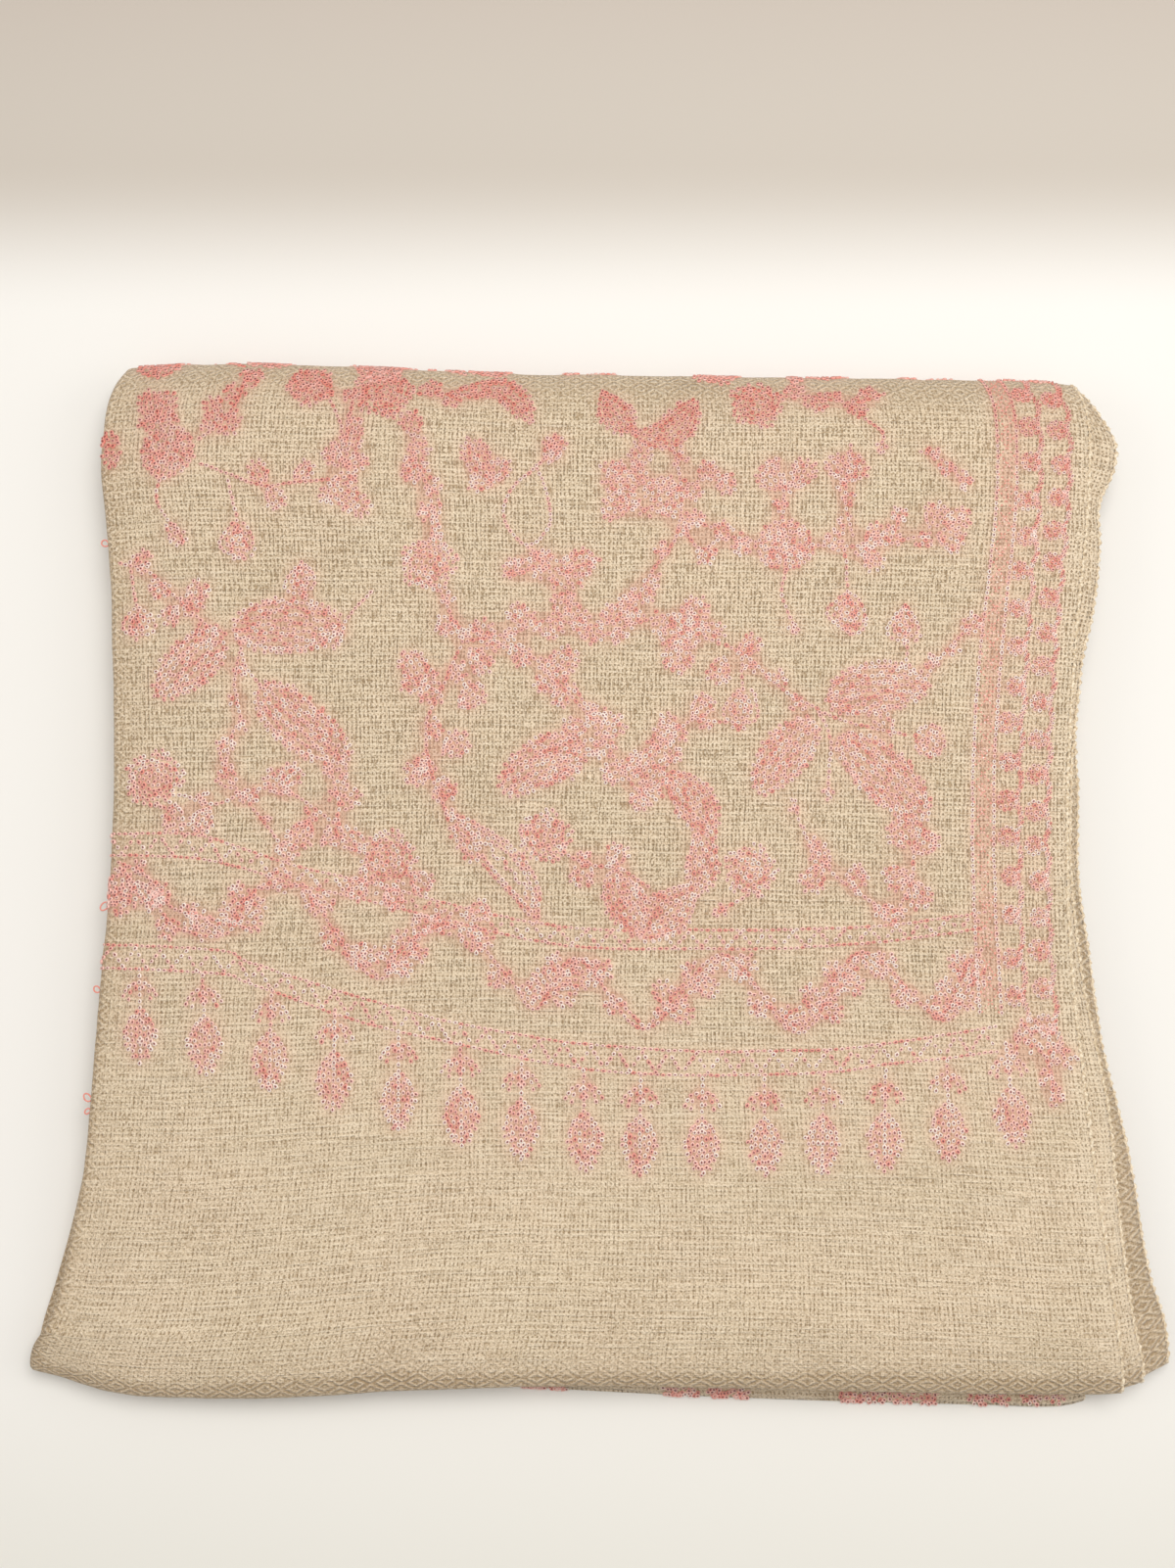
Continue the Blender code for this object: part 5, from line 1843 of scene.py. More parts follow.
@dataclass
class EmbroideryDesign:
    """The end panel's flowers, borders and pendants, on the flat cloth in millimetres."""

    roses: tuple = (
        # x, y, radius
        (-221, 43, 13.2), (-105, 3, 13.2), (-86, 152, 12.7), (-27, 14, 11.7), (74, -3, 11.7), (81, 237, 12.2),
        (-109, 243, 13.7), (-18, 54, 10.8),
    )
    blooms: tuple = (
        # x, y, radius, petals, turn
        (-220, 212, 14.7, 6, 15), (93, 162, 14.2, 6, 40), (-147, 247, 11.7, 5, 10), (164, 62, 8.3, 5, 0),
    )
    large_leaves: tuple = (
        # base x, base y, tip x, tip y, width, curl
        (-183, 118, -128, 123, 24.4, -14), (-189, 114, -222, 87, 21.5, 10), (-169, 89, -127, 50, 22.5, 12),
        (114, 82, 163, 95, 22.5, -16), (106, 71, 76, 38, 19.6, 12), (121, 61, 164, 25, 22.5, -10),
        (-7, 57, -52, 44, 20.5, 36), (-71, 20, -61, 2, 6.8, 6),
    )
    leaves: tuple = (
        # base x, base y, tip x, tip y, width, curl
        (-135, 195, -117, 176, 9.8, 10), (-130, 203, -123, 230, 8.8, 14), (-246, 218, -255, 221, 5.9, 0),
        (-245, 213, -254, 207, 5.9, 0), (-226, 228, -233, 247, 10.8, -16), (-224, 228, -220, 245, 8.8, 16),
        (-193, 228, -200, 241, 7.8, -12), (-188, 230, -190, 219, 6.8, 10), (-219, 173, -209, 163, 5.9, -20),
        (-170, 193, -176, 207, 6.8, 10), (-168, 192, -161, 181, 7.3, -12), (-155, 195, -146, 205, 6.4, 14),
        (-94, 218, -97, 232, 8.8, 8), (-98, 207, -90, 195, 11.7, 12), (-82, 185, -89, 173, 8.8, -10),
        (-54, 195, -69, 217, 12.7, -22), (-49, 206, -56, 196, 6.8, 10), (-89, 90, -97, 108, 11.7, 14),
        (-70, 79, -58, 90, 10.8, 12), (-84, 52, -96, 41, 10.8, -10), (-78, 55, -65, 65, 10.8, 10),
        (-70, 118, -82, 122, 7.8, 10), (-65, 108, -55, 95, 8.8, 12), (-37, 120, -45, 131, 7.8, 10),
        (-25, 95, -12, 108, 10.8, -12), (-23, 87, -31, 95, 8.8, 8), (43, 118, 51, 136, 10.8, -10),
        (40, 115, 38, 95, 12.7, 14), (49, 120, 63, 114, 8.8, 10), (62, 104, 57, 90, 9.8, 12),
        (69, 106, 80, 114, 7.8, 8), (170, 167, 184, 163, 11.7, -12), (166, 171, 173, 185, 9.8, 14),
        (173, 173, 188, 179, 8.8, 10), (134, 163, 143, 172, 7.8, 10), (134, 161, 140, 148, 7.8, -10),
        (22, 37, 31, 52, 10.8, 10), (13, 48, 1, 43, 8.8, -10), (0, 64, 12, 74, 9.8, 10),
        (-6, 69, -19, 68, 7.8, -10), (-127, 41, -134, 53, 9.8, 10), (-130, 28, -120, 38, 9.8, 12),
        (-137, 12, -124, 19, 10.8, 10), (-144, 22, -151, 8, 10.8, -10), (-155, 35, -164, 48, 9.8, -10),
        (-159, 41, -148, 48, 8.8, 8), (-181, 38, -188, 48, 8.8, 10), (-193, 28, -200, 16, 9.8, -12),
        (-210, 30, -211, 16, 9.8, 10), (-116, 8, -127, 16, 8.8, 10), (-93, -4, -83, -12, 8.8, 10),
        (-100, -11, -103, -22, 9.8, 10), (-115, -8, -125, -15, 10.8, -12), (154, 8, 145, 22, 12.7, 12),
        (157, 6, 165, 16, 9.8, 10), (151, -3, 140, -9, 10.8, -10), (154, -8, 160, -22, 9.8, 10),
        (113, 2, 104, 8, 8.8, 8), (109, 0, 101, -14, 9.8, -10), (120, -9, 131, -3, 8.8, 8),
        (93, 191, 81, 203, 11.7, 10), (99, 192, 107, 207, 9.8, 10), (124, 197, 117, 209, 8.8, 8),
        (125, 196, 135, 206, 8.8, 8), (14, 198, 2, 191, 9.8, 10), (19, 202, 22, 216, 9.8, -10),
        (14, 181, 0, 181, 9.8, 8), (-26, 205, -21, 219, 8.8, 8), (-17, 146, -4, 158, 11.7, 12),
        (-26, 149, -36, 158, 8.8, 8), (-39, 148, -49, 151, 7.8, 8), (-15, 137, -23, 128, 7.8, 8),
        (38, 70, 25, 58, 8.8, 8), (46, 74, 55, 84, 8.8, 8), (25, 56, 14, 48, 7.8, -8), (33, 62, 37, 50, 6.8, 8),
        (144, 65, 139, 75, 6.8, 8), (125, 66, 117, 56, 6.8, 8), (-208, 134, -197, 142, 8.8, 8),
        (-212, 130, -219, 121, 7.8, 8), (-6, 2, -11, -11, 9.8, 10), (5, -1, 11, 10, 8.8, 8),
        (18, -10, 19, -25, 8.8, 8), (-66, -25, -54, -21, 8.8, 8), (-91, -25, -83, -34, 9.8, 8),
    )
    sprigs: tuple = (
        # stem, leaf length, leaf gap, end bud
        (((-202, 205), (-187, 199), (-170, 193), (-152, 195), (-135, 196)), 0.0, 14.7, 0.0),
        (((-220, 205), (-225, 191), (-221, 179), (-211, 167)), 0.0, 14.7, 0.0),
        (((-189, 199), (-186, 187), (-183, 175)), 0.0, 14.7, 0.0),
        (((-221, 220), (-225, 229), (-228, 241)), 0.0, 14.7, 0.0),
        (((-204, 218), (-191, 228), (-183, 242), (-181, 254)), 6.4, 12.7, 0.0),
        (((-133, 203), (-128, 222), (-124, 244)), 5.9, 14.7, 0.0),
        (((-150, 143), (-147, 132), (-143, 124)), 0.0, 14.7, 0.0),
        (((-115, 137), (-124, 127), (-131, 118)), 0.0, 12.7, 10.8),
        (((-243, 154), (-228, 149), (-215, 137), (-200, 123), (-187, 116)), 6.8, 16.6, 0.0),
        (((-237, 152), (-235, 140), (-232, 129)), 0.0, 14.7, 0.0),
        (((-180, 112), (-177, 100), (-168, 88)), 0.0, 14.7, 0.0),
        (((-180, 106), (-182, 90), (-179, 74), (-183, 64)), 4.4, 14.7, 7.8),
        (((-94, 222), (-94, 207), (-87, 191), (-85, 177), (-85, 165)), 5.9, 12.7, 0.0),
        (((-81, 140), (-75, 126), (-69, 112)), 4.9, 11.7, 0.0),
        (((-66, 112), (-45, 116), (-25, 123), (-4, 120), (14, 125)), 7.3, 11.7, 0.0),
        (((-70, 109), (-78, 90), (-86, 71), (-84, 48), (-75, 23)), 6.8, 16.6, 0.0),
        (((-32, 203), (-45, 191), (-49, 176), (-38, 162), (-26, 171), (-27, 188), (-32, 202)), 0.0, 14.7, 0.0),
        (((-32, 203), (-25, 211)), 0.0, 14.7, 8.8),
        (((-36, 161), (-26, 148), (-17, 138), (-16, 126)), 4.9, 13.7, 0.0),
        (((-48, 148), (-32, 149), (-14, 150), (0, 154)), 4.9, 11.7, 0.0),
        (((37, 216), (41, 191), (38, 167), (26, 148), (16, 129)), 5.9, 16.6, 0.0),
        (((81, 163), (64, 166), (51, 160), (44, 167)), 6.8, 11.7, 6.8), (((64, 166), (53, 173)), 0.0, 11.7, 7.8),
        (((26, 145), (20, 138), (15, 124)), 5.9, 9.8, 0.0),
        (((107, 162), (124, 161), (146, 163), (166, 168)), 5.9, 15.6, 0.0),
        (((93, 148), (91, 137), (96, 122)), 0.0, 14.7, 5.9), (((123, 160), (124, 148), (124, 138)), 0.0, 14.7, 0.0),
        (((92, 176), (93, 188), (90, 204)), 4.9, 10.8, 0.0), (((127, 167), (124, 187), (128, 214)), 4.9, 11.7, 0.0),
        (((148, 163), (150, 173)), 0.0, 11.7, 7.8),
        (((43, 106), (45, 120), (38, 126), (19, 122), (-1, 114)), 6.4, 12.7, 0.0),
        (((-65, 108), (-40, 108), (-23, 93), (-7, 76), (3, 60), (15, 41), (25, 30)), 6.8, 16.6, 0.0),
        (((108, 78), (92, 87), (74, 104), (63, 110)), 6.4, 13.7, 0.0), (((71, 103), (71, 88)), 0.0, 12.7, 0.0),
        (((109, 75), (114, 64), (113, 38)), 0.0, 14.7, 5.9), (((109, 76), (131, 69), (151, 65)), 0.0, 14.7, 0.0),
        (((163, 95), (172, 106), (183, 118)), 4.9, 11.7, 9.8), (((154, 112), (153, 100)), 0.0, 12.7, 0.0),
        (((62, 71), (46, 72), (35, 64), (18, 54)), 4.9, 12.7, 0.0),
        (((-208, 35), (-190, 30), (-170, 38), (-152, 35), (-133, 22), (-126, 15)), 5.9, 17.6, 0.0),
        (((-190, 61), (-185, 46), (-172, 29), (-157, 10)), 4.4, 15.6, 8.8),
        (((-130, 60), (-133, 46), (-129, 28), (-137, 10)), 4.9, 13.7, 0.0),
        (((-126, 15), (-116, 6)), 0.0, 14.7, 0.0), (((-18, 6), (-5, 0), (10, -2), (23, -11)), 5.9, 13.7, 0.0),
        (((73, -15), (62, -21)), 0.0, 14.7, 6.8), (((100, 18), (109, 2), (123, -11), (139, -22)), 4.9, 12.7, 8.8),
        (((159, 20), (155, 6), (153, -9), (145, -24)), 4.9, 14.7, 0.0), (((100, 16), (97, 26)), 0.0, 9.8, 6.8),
        (((-13, 90), (-6, 78)), 0.0, 14.7, 7.8),
        (((0, 203), (14, 191), (24, 197), (38, 191), (57, 198), (65, 197)), 6.8, 9.8, 0.0),
        (((9, 181), (24, 181), (39, 176)), 5.4, 9.8, 0.0),
        (((-156, 249), (-139, 241), (-131, 224)), 0.0, 11.7, 0.0),
        (((-91, 242), (-71, 242), (-56, 241)), 5.9, 9.8, 0.0),
        (((94, 242), (112, 241), (130, 238), (147, 243)), 6.4, 10.8, 0.0),
        (((134, 230), (144, 222), (144, 216)), 0.0, 9.8, 5.9),
        (((163, 211), (177, 205), (185, 191)), 4.9, 10.8, 0.0),
        (((-238, 2), (-223, -6), (-208, -22), (-179, -29)), 5.9, 14.7, 0.0),
    )
    bells: tuple = (
        # x, y, heading, size
        (-183, 175, -85, 19.6), (124, 138, -88, 21.5), (-149, 135, 93, 17.6), (152, 111, 87, 18.6),
        (70, 88, -93, 19.6), (-232, 132, -90, 17.6),
    )
    garlands: tuple = (
        # spine, width
        (((3, 244), (9, 231), (19, 221)), 15.6), (((17, 220), (36, 221), (52, 241)), 15.6),
        (((31, 46), (44, 35), (57, 12)), 18.6), (((48, 19), (51, 2), (46, -18)), 13.7),
        (((47, -10), (35, -22), (18, -36)), 19.6), (((8, 1), (10, -14), (22, -35)), 17.6),
        (((-67, 247), (-46, 244), (-33, 224)), 12.7),
    )
    open_leaves: tuple = (
        # spine, width
        (((-76, 27), (-54, 8), (-38, -10), (-31, -28)), 16.6),
    )
    upper_band: tuple = (
        # x, y, width
        (-256, 16, 10.7), (-238, 16, 10.7), (-200, 15, 11.6), (-176, 8, 9.5), (-151, 0, 9.2), (-130, -5, 8.7),
        (-97, -13, 8.7), (-63, -22, 8.1), (-28, -29, 8.9), (4, -32, 9.1), (50, -32, 9.1), (85, -32, 9.1),
        (136, -30, 7.9), (170, -26, 7.6), (189, -23, 7.7),
    )
    lower_band: tuple = (
        # x, y, width
        (-254, -39, 11.5), (-240, -39, 11.5), (-186, -42, 11.4), (-171, -48, 10.0), (-127, -62, 11.4),
        (-102, -69, 11.4), (-76, -76, 9.8), (-27, -85, 11.3), (13, -89, 12.2), (57, -91, 11.4), (113, -90, 10.8),
        (140, -87, 9.9), (168, -83, 11.3), (193, -79, 11.8),
    )
    pendants: tuple = (
        # x, y, lean, length
        (-226, -51, 1, 47), (-194, -54, 2, 49), (-160, -61, 1, 49), (-129, -71, 1, 49), (-98, -81, 1, 48),
        (-68, -87, 1, 50), (-38, -94, 0, 49), (-8, -100, 0, 49), (20, -102, 0, 49), (50, -104, 0, 47),
        (80, -104, -1, 47), (109, -102, -1, 48), (139, -100, -2, 49), (169, -95, -1, 49), (198, -87, 3, 51),
    )
    meander: tuple = (
        # x, y
        (-248, -22), (-228, -8), (-209, -30), (-183, -34), (-169, -12), (-146, -10), (-126, -39), (-107, -56),
        (-88, -34), (-69, -30), (-44, -56), (-31, -70), (-11, -46), (22, -80), (60, -44), (97, -82), (128, -43),
        (168, -76), (187, -42),
    )
    end_roses: tuple = (
        # x, width
        (-36, 9), (-24, 7), (33, 9), (42, 6), (55, 8), (66, 8), (122, 11), (133, 10), (146, 12), (160, 10),
        (186, 10), (197, 9), (212, 9), (224, 8),
    )
    end_rose_y: float = -257.5
    far_field: float = 90.0
    far_leaf_share: float = 1.42
    near_leaf_share: float = 1.18
    gap_share: float = 2.38
    bud_share: float = 1.15
    border_end: float = -72.0
    border_far: float = 296.0
    rails: tuple = (
        # distance from the selvedge far behind, and what it gains towards the front
        (46.2, 3.2), (36.6, 1.6),
    )
    rosette_columns: tuple = (
        # distance from the selvedge, radius, first place, pitch
        (30.8, 4.5, -64.0, 19.4), (16.0, 4.6, -78.0, 17.8),
    )

    def field_rows(self, seed: int = 5) -> list[Row]:
        """Stitch the flowering field.

        Args:
            seed: Fixes the hand's unevenness.

        Returns:
            The rows.
        """
        needle = Needle(seed)
        for stem, leaf, gap, bud in self.sprigs:
            full = self.far_leaf_share if stem[0][1] > self.far_field else self.near_leaf_share
            if leaf > 0.0:
                needle.sprig(stem, leaf * full, gap * (self.gap_share - full), bud * self.bud_share)
            else:
                needle.sprig(stem, 0.0, math.inf, bud * self.bud_share)
        for x, y, tip_x, tip_y, width, curl in self.large_leaves:
            heading, length = heading_of(tip_x - x, tip_y - y), math.hypot(tip_x - x, tip_y - y)
            needle.veined(x, y, heading, length, width, curl)
        for x, y, tip_x, tip_y, width, curl in self.leaves:
            heading, length = heading_of(tip_x - x, tip_y - y), math.hypot(tip_x - x, tip_y - y)
            needle.leaf(x, y, heading, length * 1.06, width, curl)
            if length > 17.0:
                for side in (-1.0, 1.0):
                    needle.leaf(x, y, heading + side * 64.0, length * 0.52, width * 0.55, -side * 20.0)
        for x, y, radius in self.roses:
            needle.rose(x, y, radius)
        for x, y, radius, petals, turn in self.blooms:
            needle.bloom(x, y, radius, int(petals), turn)
        for x, y, heading, size in self.bells:
            needle.bell(x, y, heading, size)
        for spine, width in self.garlands:
            needle.filled(curve_through(spine), width, bulge=0.95, tone=0.45)
        for spine, width in self.open_leaves:
            curve = curve_through(spine)
            half = 0.5 * width * np.sin(np.pi * np.linspace(0.0, 1.0, len(curve)) ** 1.2) ** 0.8
            aside = sideways(curve)
            for side, rows in ((1.0, 3), (-1.0, 2)):
                for row in range(rows):
                    needle.line(curve + aside * (side * np.maximum(half - 1.9 * row, 0.0))[:, None], 0.55 + 0.1 * row)
            sway = 1.6 * np.sin(np.arange(len(curve)) * 1.1)
            needle.line(curve + aside * sway[:, None], 0.6, stray=0.6)
        return needle.rows

    def back_rows(self, seed: int = 9) -> list[Row]:
        """Stitch the field where it runs on round the back fold."""
        needle = Needle(seed)
        for number, x in enumerate(range(-228, 190, 58)):
            y = 268.0 + 6.0 * math.sin(number * 2.1)
            if number % 2:
                needle.rose(x, y, 11.5)
            else:
                needle.bloom(x, y, 12.5, 6, 20.0 * number)
            needle.sprig([(x + 12, y), (x + 26, y + 9), (x + 44, y - 6)], 7.5, 11.0)
            needle.sprig([(x + 24, y + 6), (x + 30, y + 18), (x + 27, y + 26)], 6.5, 9.0)
        return needle.rows

    def border_rows(self, seed: int = 21) -> list[Row]:
        """Stitch the border along the selvedge: a trellis band and two columns of rosettes on vines."""
        needle = Needle(seed)
        rails = []
        y = np.arange(self.border_end, self.border_far, 2.0)
        for distance, gain in self.rails:
            x = distance + gain * smooth((215.0 - y) / 130.0) + 0.5 * np.sin(y / 31.0)
            rails.append(np.stack([x, y], axis=1))
        needle.trellis(rails[0], rails[1], 9.5, full=False)
        for loop in np.arange(self.border_end + 8.0, self.border_far, 15.0):
            at = int(np.clip((loop - self.border_end) / 2.0, 0, len(y) - 1))
            middle = (rails[0][at] + rails[1][at]) / 2.0 + needle.random.normal(0.0, 1.0, 2)
            needle.spiral(middle[0], middle[1], needle.random.uniform(2.2, 3.4), 0.5, Stitch.THREAD)
        for distance, radius, first, pitch in self.rosette_columns:
            y = np.arange(first - 12.0, self.border_far, 2.2)
            wave = distance - 5.6 + 1.1 * np.cos((y - first) * 2.0 * math.pi / pitch)
            needle.rope(np.stack([wave, y], axis=1), 0.50, 0.62)
            place = first
            while place < self.border_far - radius:
                stray_x, stray_y = needle.random.normal(0.0, 0.7, 2)
                needle.rosette(distance + stray_x, place + stray_y, radius * needle.random.uniform(0.92, 1.08))
                place += pitch * needle.random.uniform(0.96, 1.04)
        for row in needle.rows:
            row.by_selvedge = True
        return needle.rows

    def band_rows(self, seed: int = 33) -> list[Row]:
        """Stitch the two trellis bands and the leafy meander between them."""
        needle = Needle(seed)
        for band in (self.upper_band, self.lower_band):
            top = curve_through([(x, y) for x, y, _ in band], 2.0)
            low = curve_through([(x, y - width) for x, y, width in band], 2.0)
            count = min(len(top), len(low))
            share = np.linspace(0.0, 1.0, count)
            for line in (top, low):
                line[:count] = read_along(line, np.linspace(0.0, 1.0, len(line)), share)
            needle.trellis(top[:count], low[:count], 6.4)
        needle.vine(self.meander)
        for (x, y), (next_x, next_y) in zip(self.meander[:-1], self.meander[1:]):
            heading, length = heading_of(next_x - x, next_y - y), math.hypot(next_x - x, next_y - y)
            if next_y > y + 10.0:
                needle.leaf(x, y, heading, length * 1.04, 5.4, bulge=1.1, tone=0.45)
                for share in (0.28, 0.62):
                    needle.pair(x + (next_x - x) * share, y + (next_y - y) * share, heading, 13.6, 60.0, 10.0)
                continue
            if next_y < y - 15.0:
                needle.leaf(x, y, heading, 18.0, 6.6, tone=0.6)
            needle.sprig([(x, y), (next_x, next_y)], 10.6, 17.5)
        return needle.rows

    def pendant_rows(self, seed: int = 41) -> list[Row]:
        """Stitch the pendants and the drooping twigs where the two borders meet."""
        needle = Needle(seed)
        for x, y, lean, length in self.pendants:
            needle.pendant(x, y, lean + needle.random.uniform(-1.5, 1.5), length)
        needle.sprig([(206, -76), (212, -86), (219, -98), (220, -112)], 7.0, 8.0)
        needle.spiral(220, -115, 3.0, 0.3, Stitch.KNOTTED)
        needle.sprig([(213, -80), (222, -88), (229, -99)], 6.5, 8.0)
        needle.sprig([(206, -78), (203, -88), (204, -97)], 6.0, 8.0)
        return needle.rows

    def underside_rows(self, seed: int = 55) -> list[Row]:
        """Stitch the panel on the underside: the same flowers, larger spaced, between plain borders."""
        needle = Needle(seed, spacing=2.9)
        for rank, y in enumerate(range(-205, 240, 74)):
            for number, x in enumerate(range(-196, 190, 78)):
                place = x + 26.0 * (rank % 2)
                if (number + rank) % 3 == 0:
                    needle.rose(place, y, 13.0)
                elif (number + rank) % 3 == 1:
                    needle.bloom(place, y, 14.0, 6, 25.0 * rank)
                else:
                    needle.veined(place - 18, y - 8, 20.0, 42.0, 20.0, 14.0)
                stem = [(place + 14, y), (place + 30, y + 14), (place + 40, y + 34), (place + 34, y + 54)]
                needle.sprig(stem, 12.0, 17.0, 10.0 if number % 2 else 0.0)
        for y in (-236.0, -228.0):
            needle.line(curve_through([(-225, y), (0, y - 1), (222, y)], 2.0), 0.7)
        for row in needle.rows:
            row.kind = Stitch.PLAIN
        return needle.rows

    def end_rows(self, seed: int = 61) -> list[Row]:
        """Stitch what the free end shows below the front fold: a run of roses."""
        needle = Needle(seed)
        for x, width in self.end_roses:
            needle.rose(x, self.end_rose_y, 0.5 * width, 0.30)
        return needle.rows


def tube(
    spine: np.ndarray, away: np.ndarray, up: np.ndarray, girth: np.ndarray, sides: int
) -> tuple[np.ndarray, list[tuple[int, ...]]]:
    """Close a thread round a line.

    Args:
        spine: Its middle line.
        away: A direction across it at each point.
        up: The other direction across it.
        girth: Its radius at each point.
        sides: How many sides it has.

    Returns:
        Its points and its faces.
    """
    angle = 2 * np.pi * np.arange(sides) / sides
    ring = away[:, None, :] * np.cos(angle)[None, :, None] + up[:, None, :] * np.sin(angle)[None, :, None]
    points = (spine[:, None, :] + ring * girth[:, None, None]).reshape(-1, 3)
    last = len(points) - sides
    faces: list[tuple[int, ...]] = []
    for low in range(0, last, sides):
        high = low + sides
        for side in range(sides):
            after = (side + 1) % sides
            faces.append((low + side, low + after, high + after, high + side))
    return points, [*faces, tuple(range(sides - 1, -1, -1)), tuple(range(last, len(points)))]


@dataclass
class SelvedgeCord:
    """The crinkled, tight edge yarn of a selvedge."""

    radius: float = 1.0 * MM
    crinkle: float = 0.85 * MM
    pitch: float = 4.6 * MM
    spacing: float = 1.15 * MM
    sides: int = 6
    seed: int = 1

    def make(self, name: str, line: np.ndarray, outwards: np.ndarray, material: bpy.types.Material) -> bpy.types.Object:
        """Lay the yarn along an edge.

        Args:
            name: The piece's name.
            line: Places along the edge.
            outwards: Direction out of the cloth's edge at each place.
            material: Its finish.

        Returns:
            The new piece.
        """
        run = run_along(line)
        at = np.arange(0.0, run[-1], self.spacing)
        spine = read_along(line, run, at)
        away = unit(read_along(outwards, run, at))
        up = unit(np.cross(unit(np.gradient(spine, axis=0)), away))
        stray = SoftNoise(self.seed)
        phase = at / self.pitch * 2 * np.pi + 1.8 * stray.at(at / (17 * MM), at * 0.0 + 0.5)
        shift = self.crinkle * (0.55 + 0.45 * stray.at(at / (9 * MM), at * 0.0 + 4.5))
        spine = spine + away * (shift * (0.35 + np.sin(phase)))[:, None]
        spine = spine + up * (0.45 * shift * np.cos(phase * 0.5 + 1.0))[:, None]
        girth = self.radius * (1.0 + 0.28 * np.sin(phase + 1.2) + 0.22 * stray.at(at / (5 * MM), at * 0.0 + 8.5))
        girth[0] = girth[-1] = 0.3 * self.radius
        points, faces = tube(spine, away, up, girth, self.sides)
        return finish_mesh(name, new_mesh(name, points.tolist(), faces=faces), material)


@dataclass
class Fuzz:
    """Short loose fibres along an edge, set by Geometry Nodes."""

    material: bpy.types.Material
    length: float = 2.6 * MM
    girth: float = 0.07 * MM
    spacing: float = 0.55 * MM
    lean: float = 0.85
    shortest: float = 0.35
    longest: float = 1.15
    length_seed: int = 9

    def fibre(self) -> bpy.types.Object:
        """Make one bent fibre that stands along +Z."""
        bend = ((0.0, 0.0), (0.16, 0.45), (0.52, 0.82), (1.0, 1.0))
        points, faces = [], []
        for row, (aside, high) in enumerate(bend[:-1]):
            thin = 1.0 - 0.25 * row
            for side in range(3):
                angle = 2 * math.pi * side / 3
                x = aside * self.length * 0.6 + self.girth * thin * math.cos(angle)
                points.append((x, self.girth * thin * math.sin(angle), high * self.length))
        points.append((bend[-1][0] * self.length * 0.6, 0.0, bend[-1][1] * self.length))
        for row in range(2):
            for side in range(3):
                after = (side + 1) % 3
                faces.append((row * 3 + side, row * 3 + after, row * 3 + 3 + after, row * 3 + 3 + side))
        faces += [(6 + side, 6 + (side + 1) % 3, 9) for side in range(3)]
        faces.append((2, 1, 0))
        mesh = new_mesh("fibre", points, faces=faces)
        mesh.shade_smooth()
        mesh.materials.append(self.material)
        return bpy.data.objects.new("fibre", mesh)

    def tree(self) -> bpy.types.NodeTree:
        """Make the node tree that sets fibres along an edge."""
        numbers = {"Fibre Spacing": "NodeSocketFloat", "Lean": "NodeSocketFloat", "Seed": "NodeSocketInt"}
        g = LineGraph("edge_fuzz", numbers)
        line = g.value("GeometryNodeMeshToCurve", None, Mesh=g.given("Geometry"))
        spacing = g.given("Fibre Spacing")
        points = g.value("GeometryNodeResampleCurve", {"mode": "LENGTH"}, Curve=line, Length=spacing)
        stray = g.chance("FLOAT_VECTOR", (-1.0, -1.0, -1.0), (1.0, 1.0, 1.0), g.given("Seed"))
        lean = g.value("ShaderNodeVectorMath", {"operation": "SCALE"}, s0=stray, Scale=g.given("Lean"))
        outwards = g.carried("outwards", "FLOAT_VECTOR")
        away = g.value("ShaderNodeVectorMath", {"operation": "ADD"}, s0=outwards, s1=lean)
        turn = g.value("FunctionNodeAlignRotationToVector", {"axis": "Z"}, Vector=away)
        size = g.chance("FLOAT", self.shortest, self.longest, self.length_seed)
        return g.dressed(g.copies(self.fibre(), points, Rotation=turn, Scale=size), self.material)

    def make(self, name: str, line: np.ndarray, outwards: np.ndarray, seed: int) -> bpy.types.Object:
        """Set fibres along an edge.

        Args:
            name: The piece's name.
            line: Places along the edge.
            outwards: Direction out of the edge at each place.
            seed: Fixes the fibres' lean.

        Returns:
            The new piece.
        """
        mesh = new_mesh(name + "_line", line.tolist(), [(i, i + 1) for i in range(len(line) - 1)])
        carry(mesh, "outwards", outwards)
        thing = shown(mesh.name, mesh)
        modifier = thing.modifiers.new("fuzz", "NODES")
        modifier.node_group = self.tree()
        set_inputs(modifier, {"Fibre Spacing": self.spacing, "Lean": self.lean, "Seed": seed})
        plain = taken_out(thing)
        plain.name = name
        return shown(name, plain)


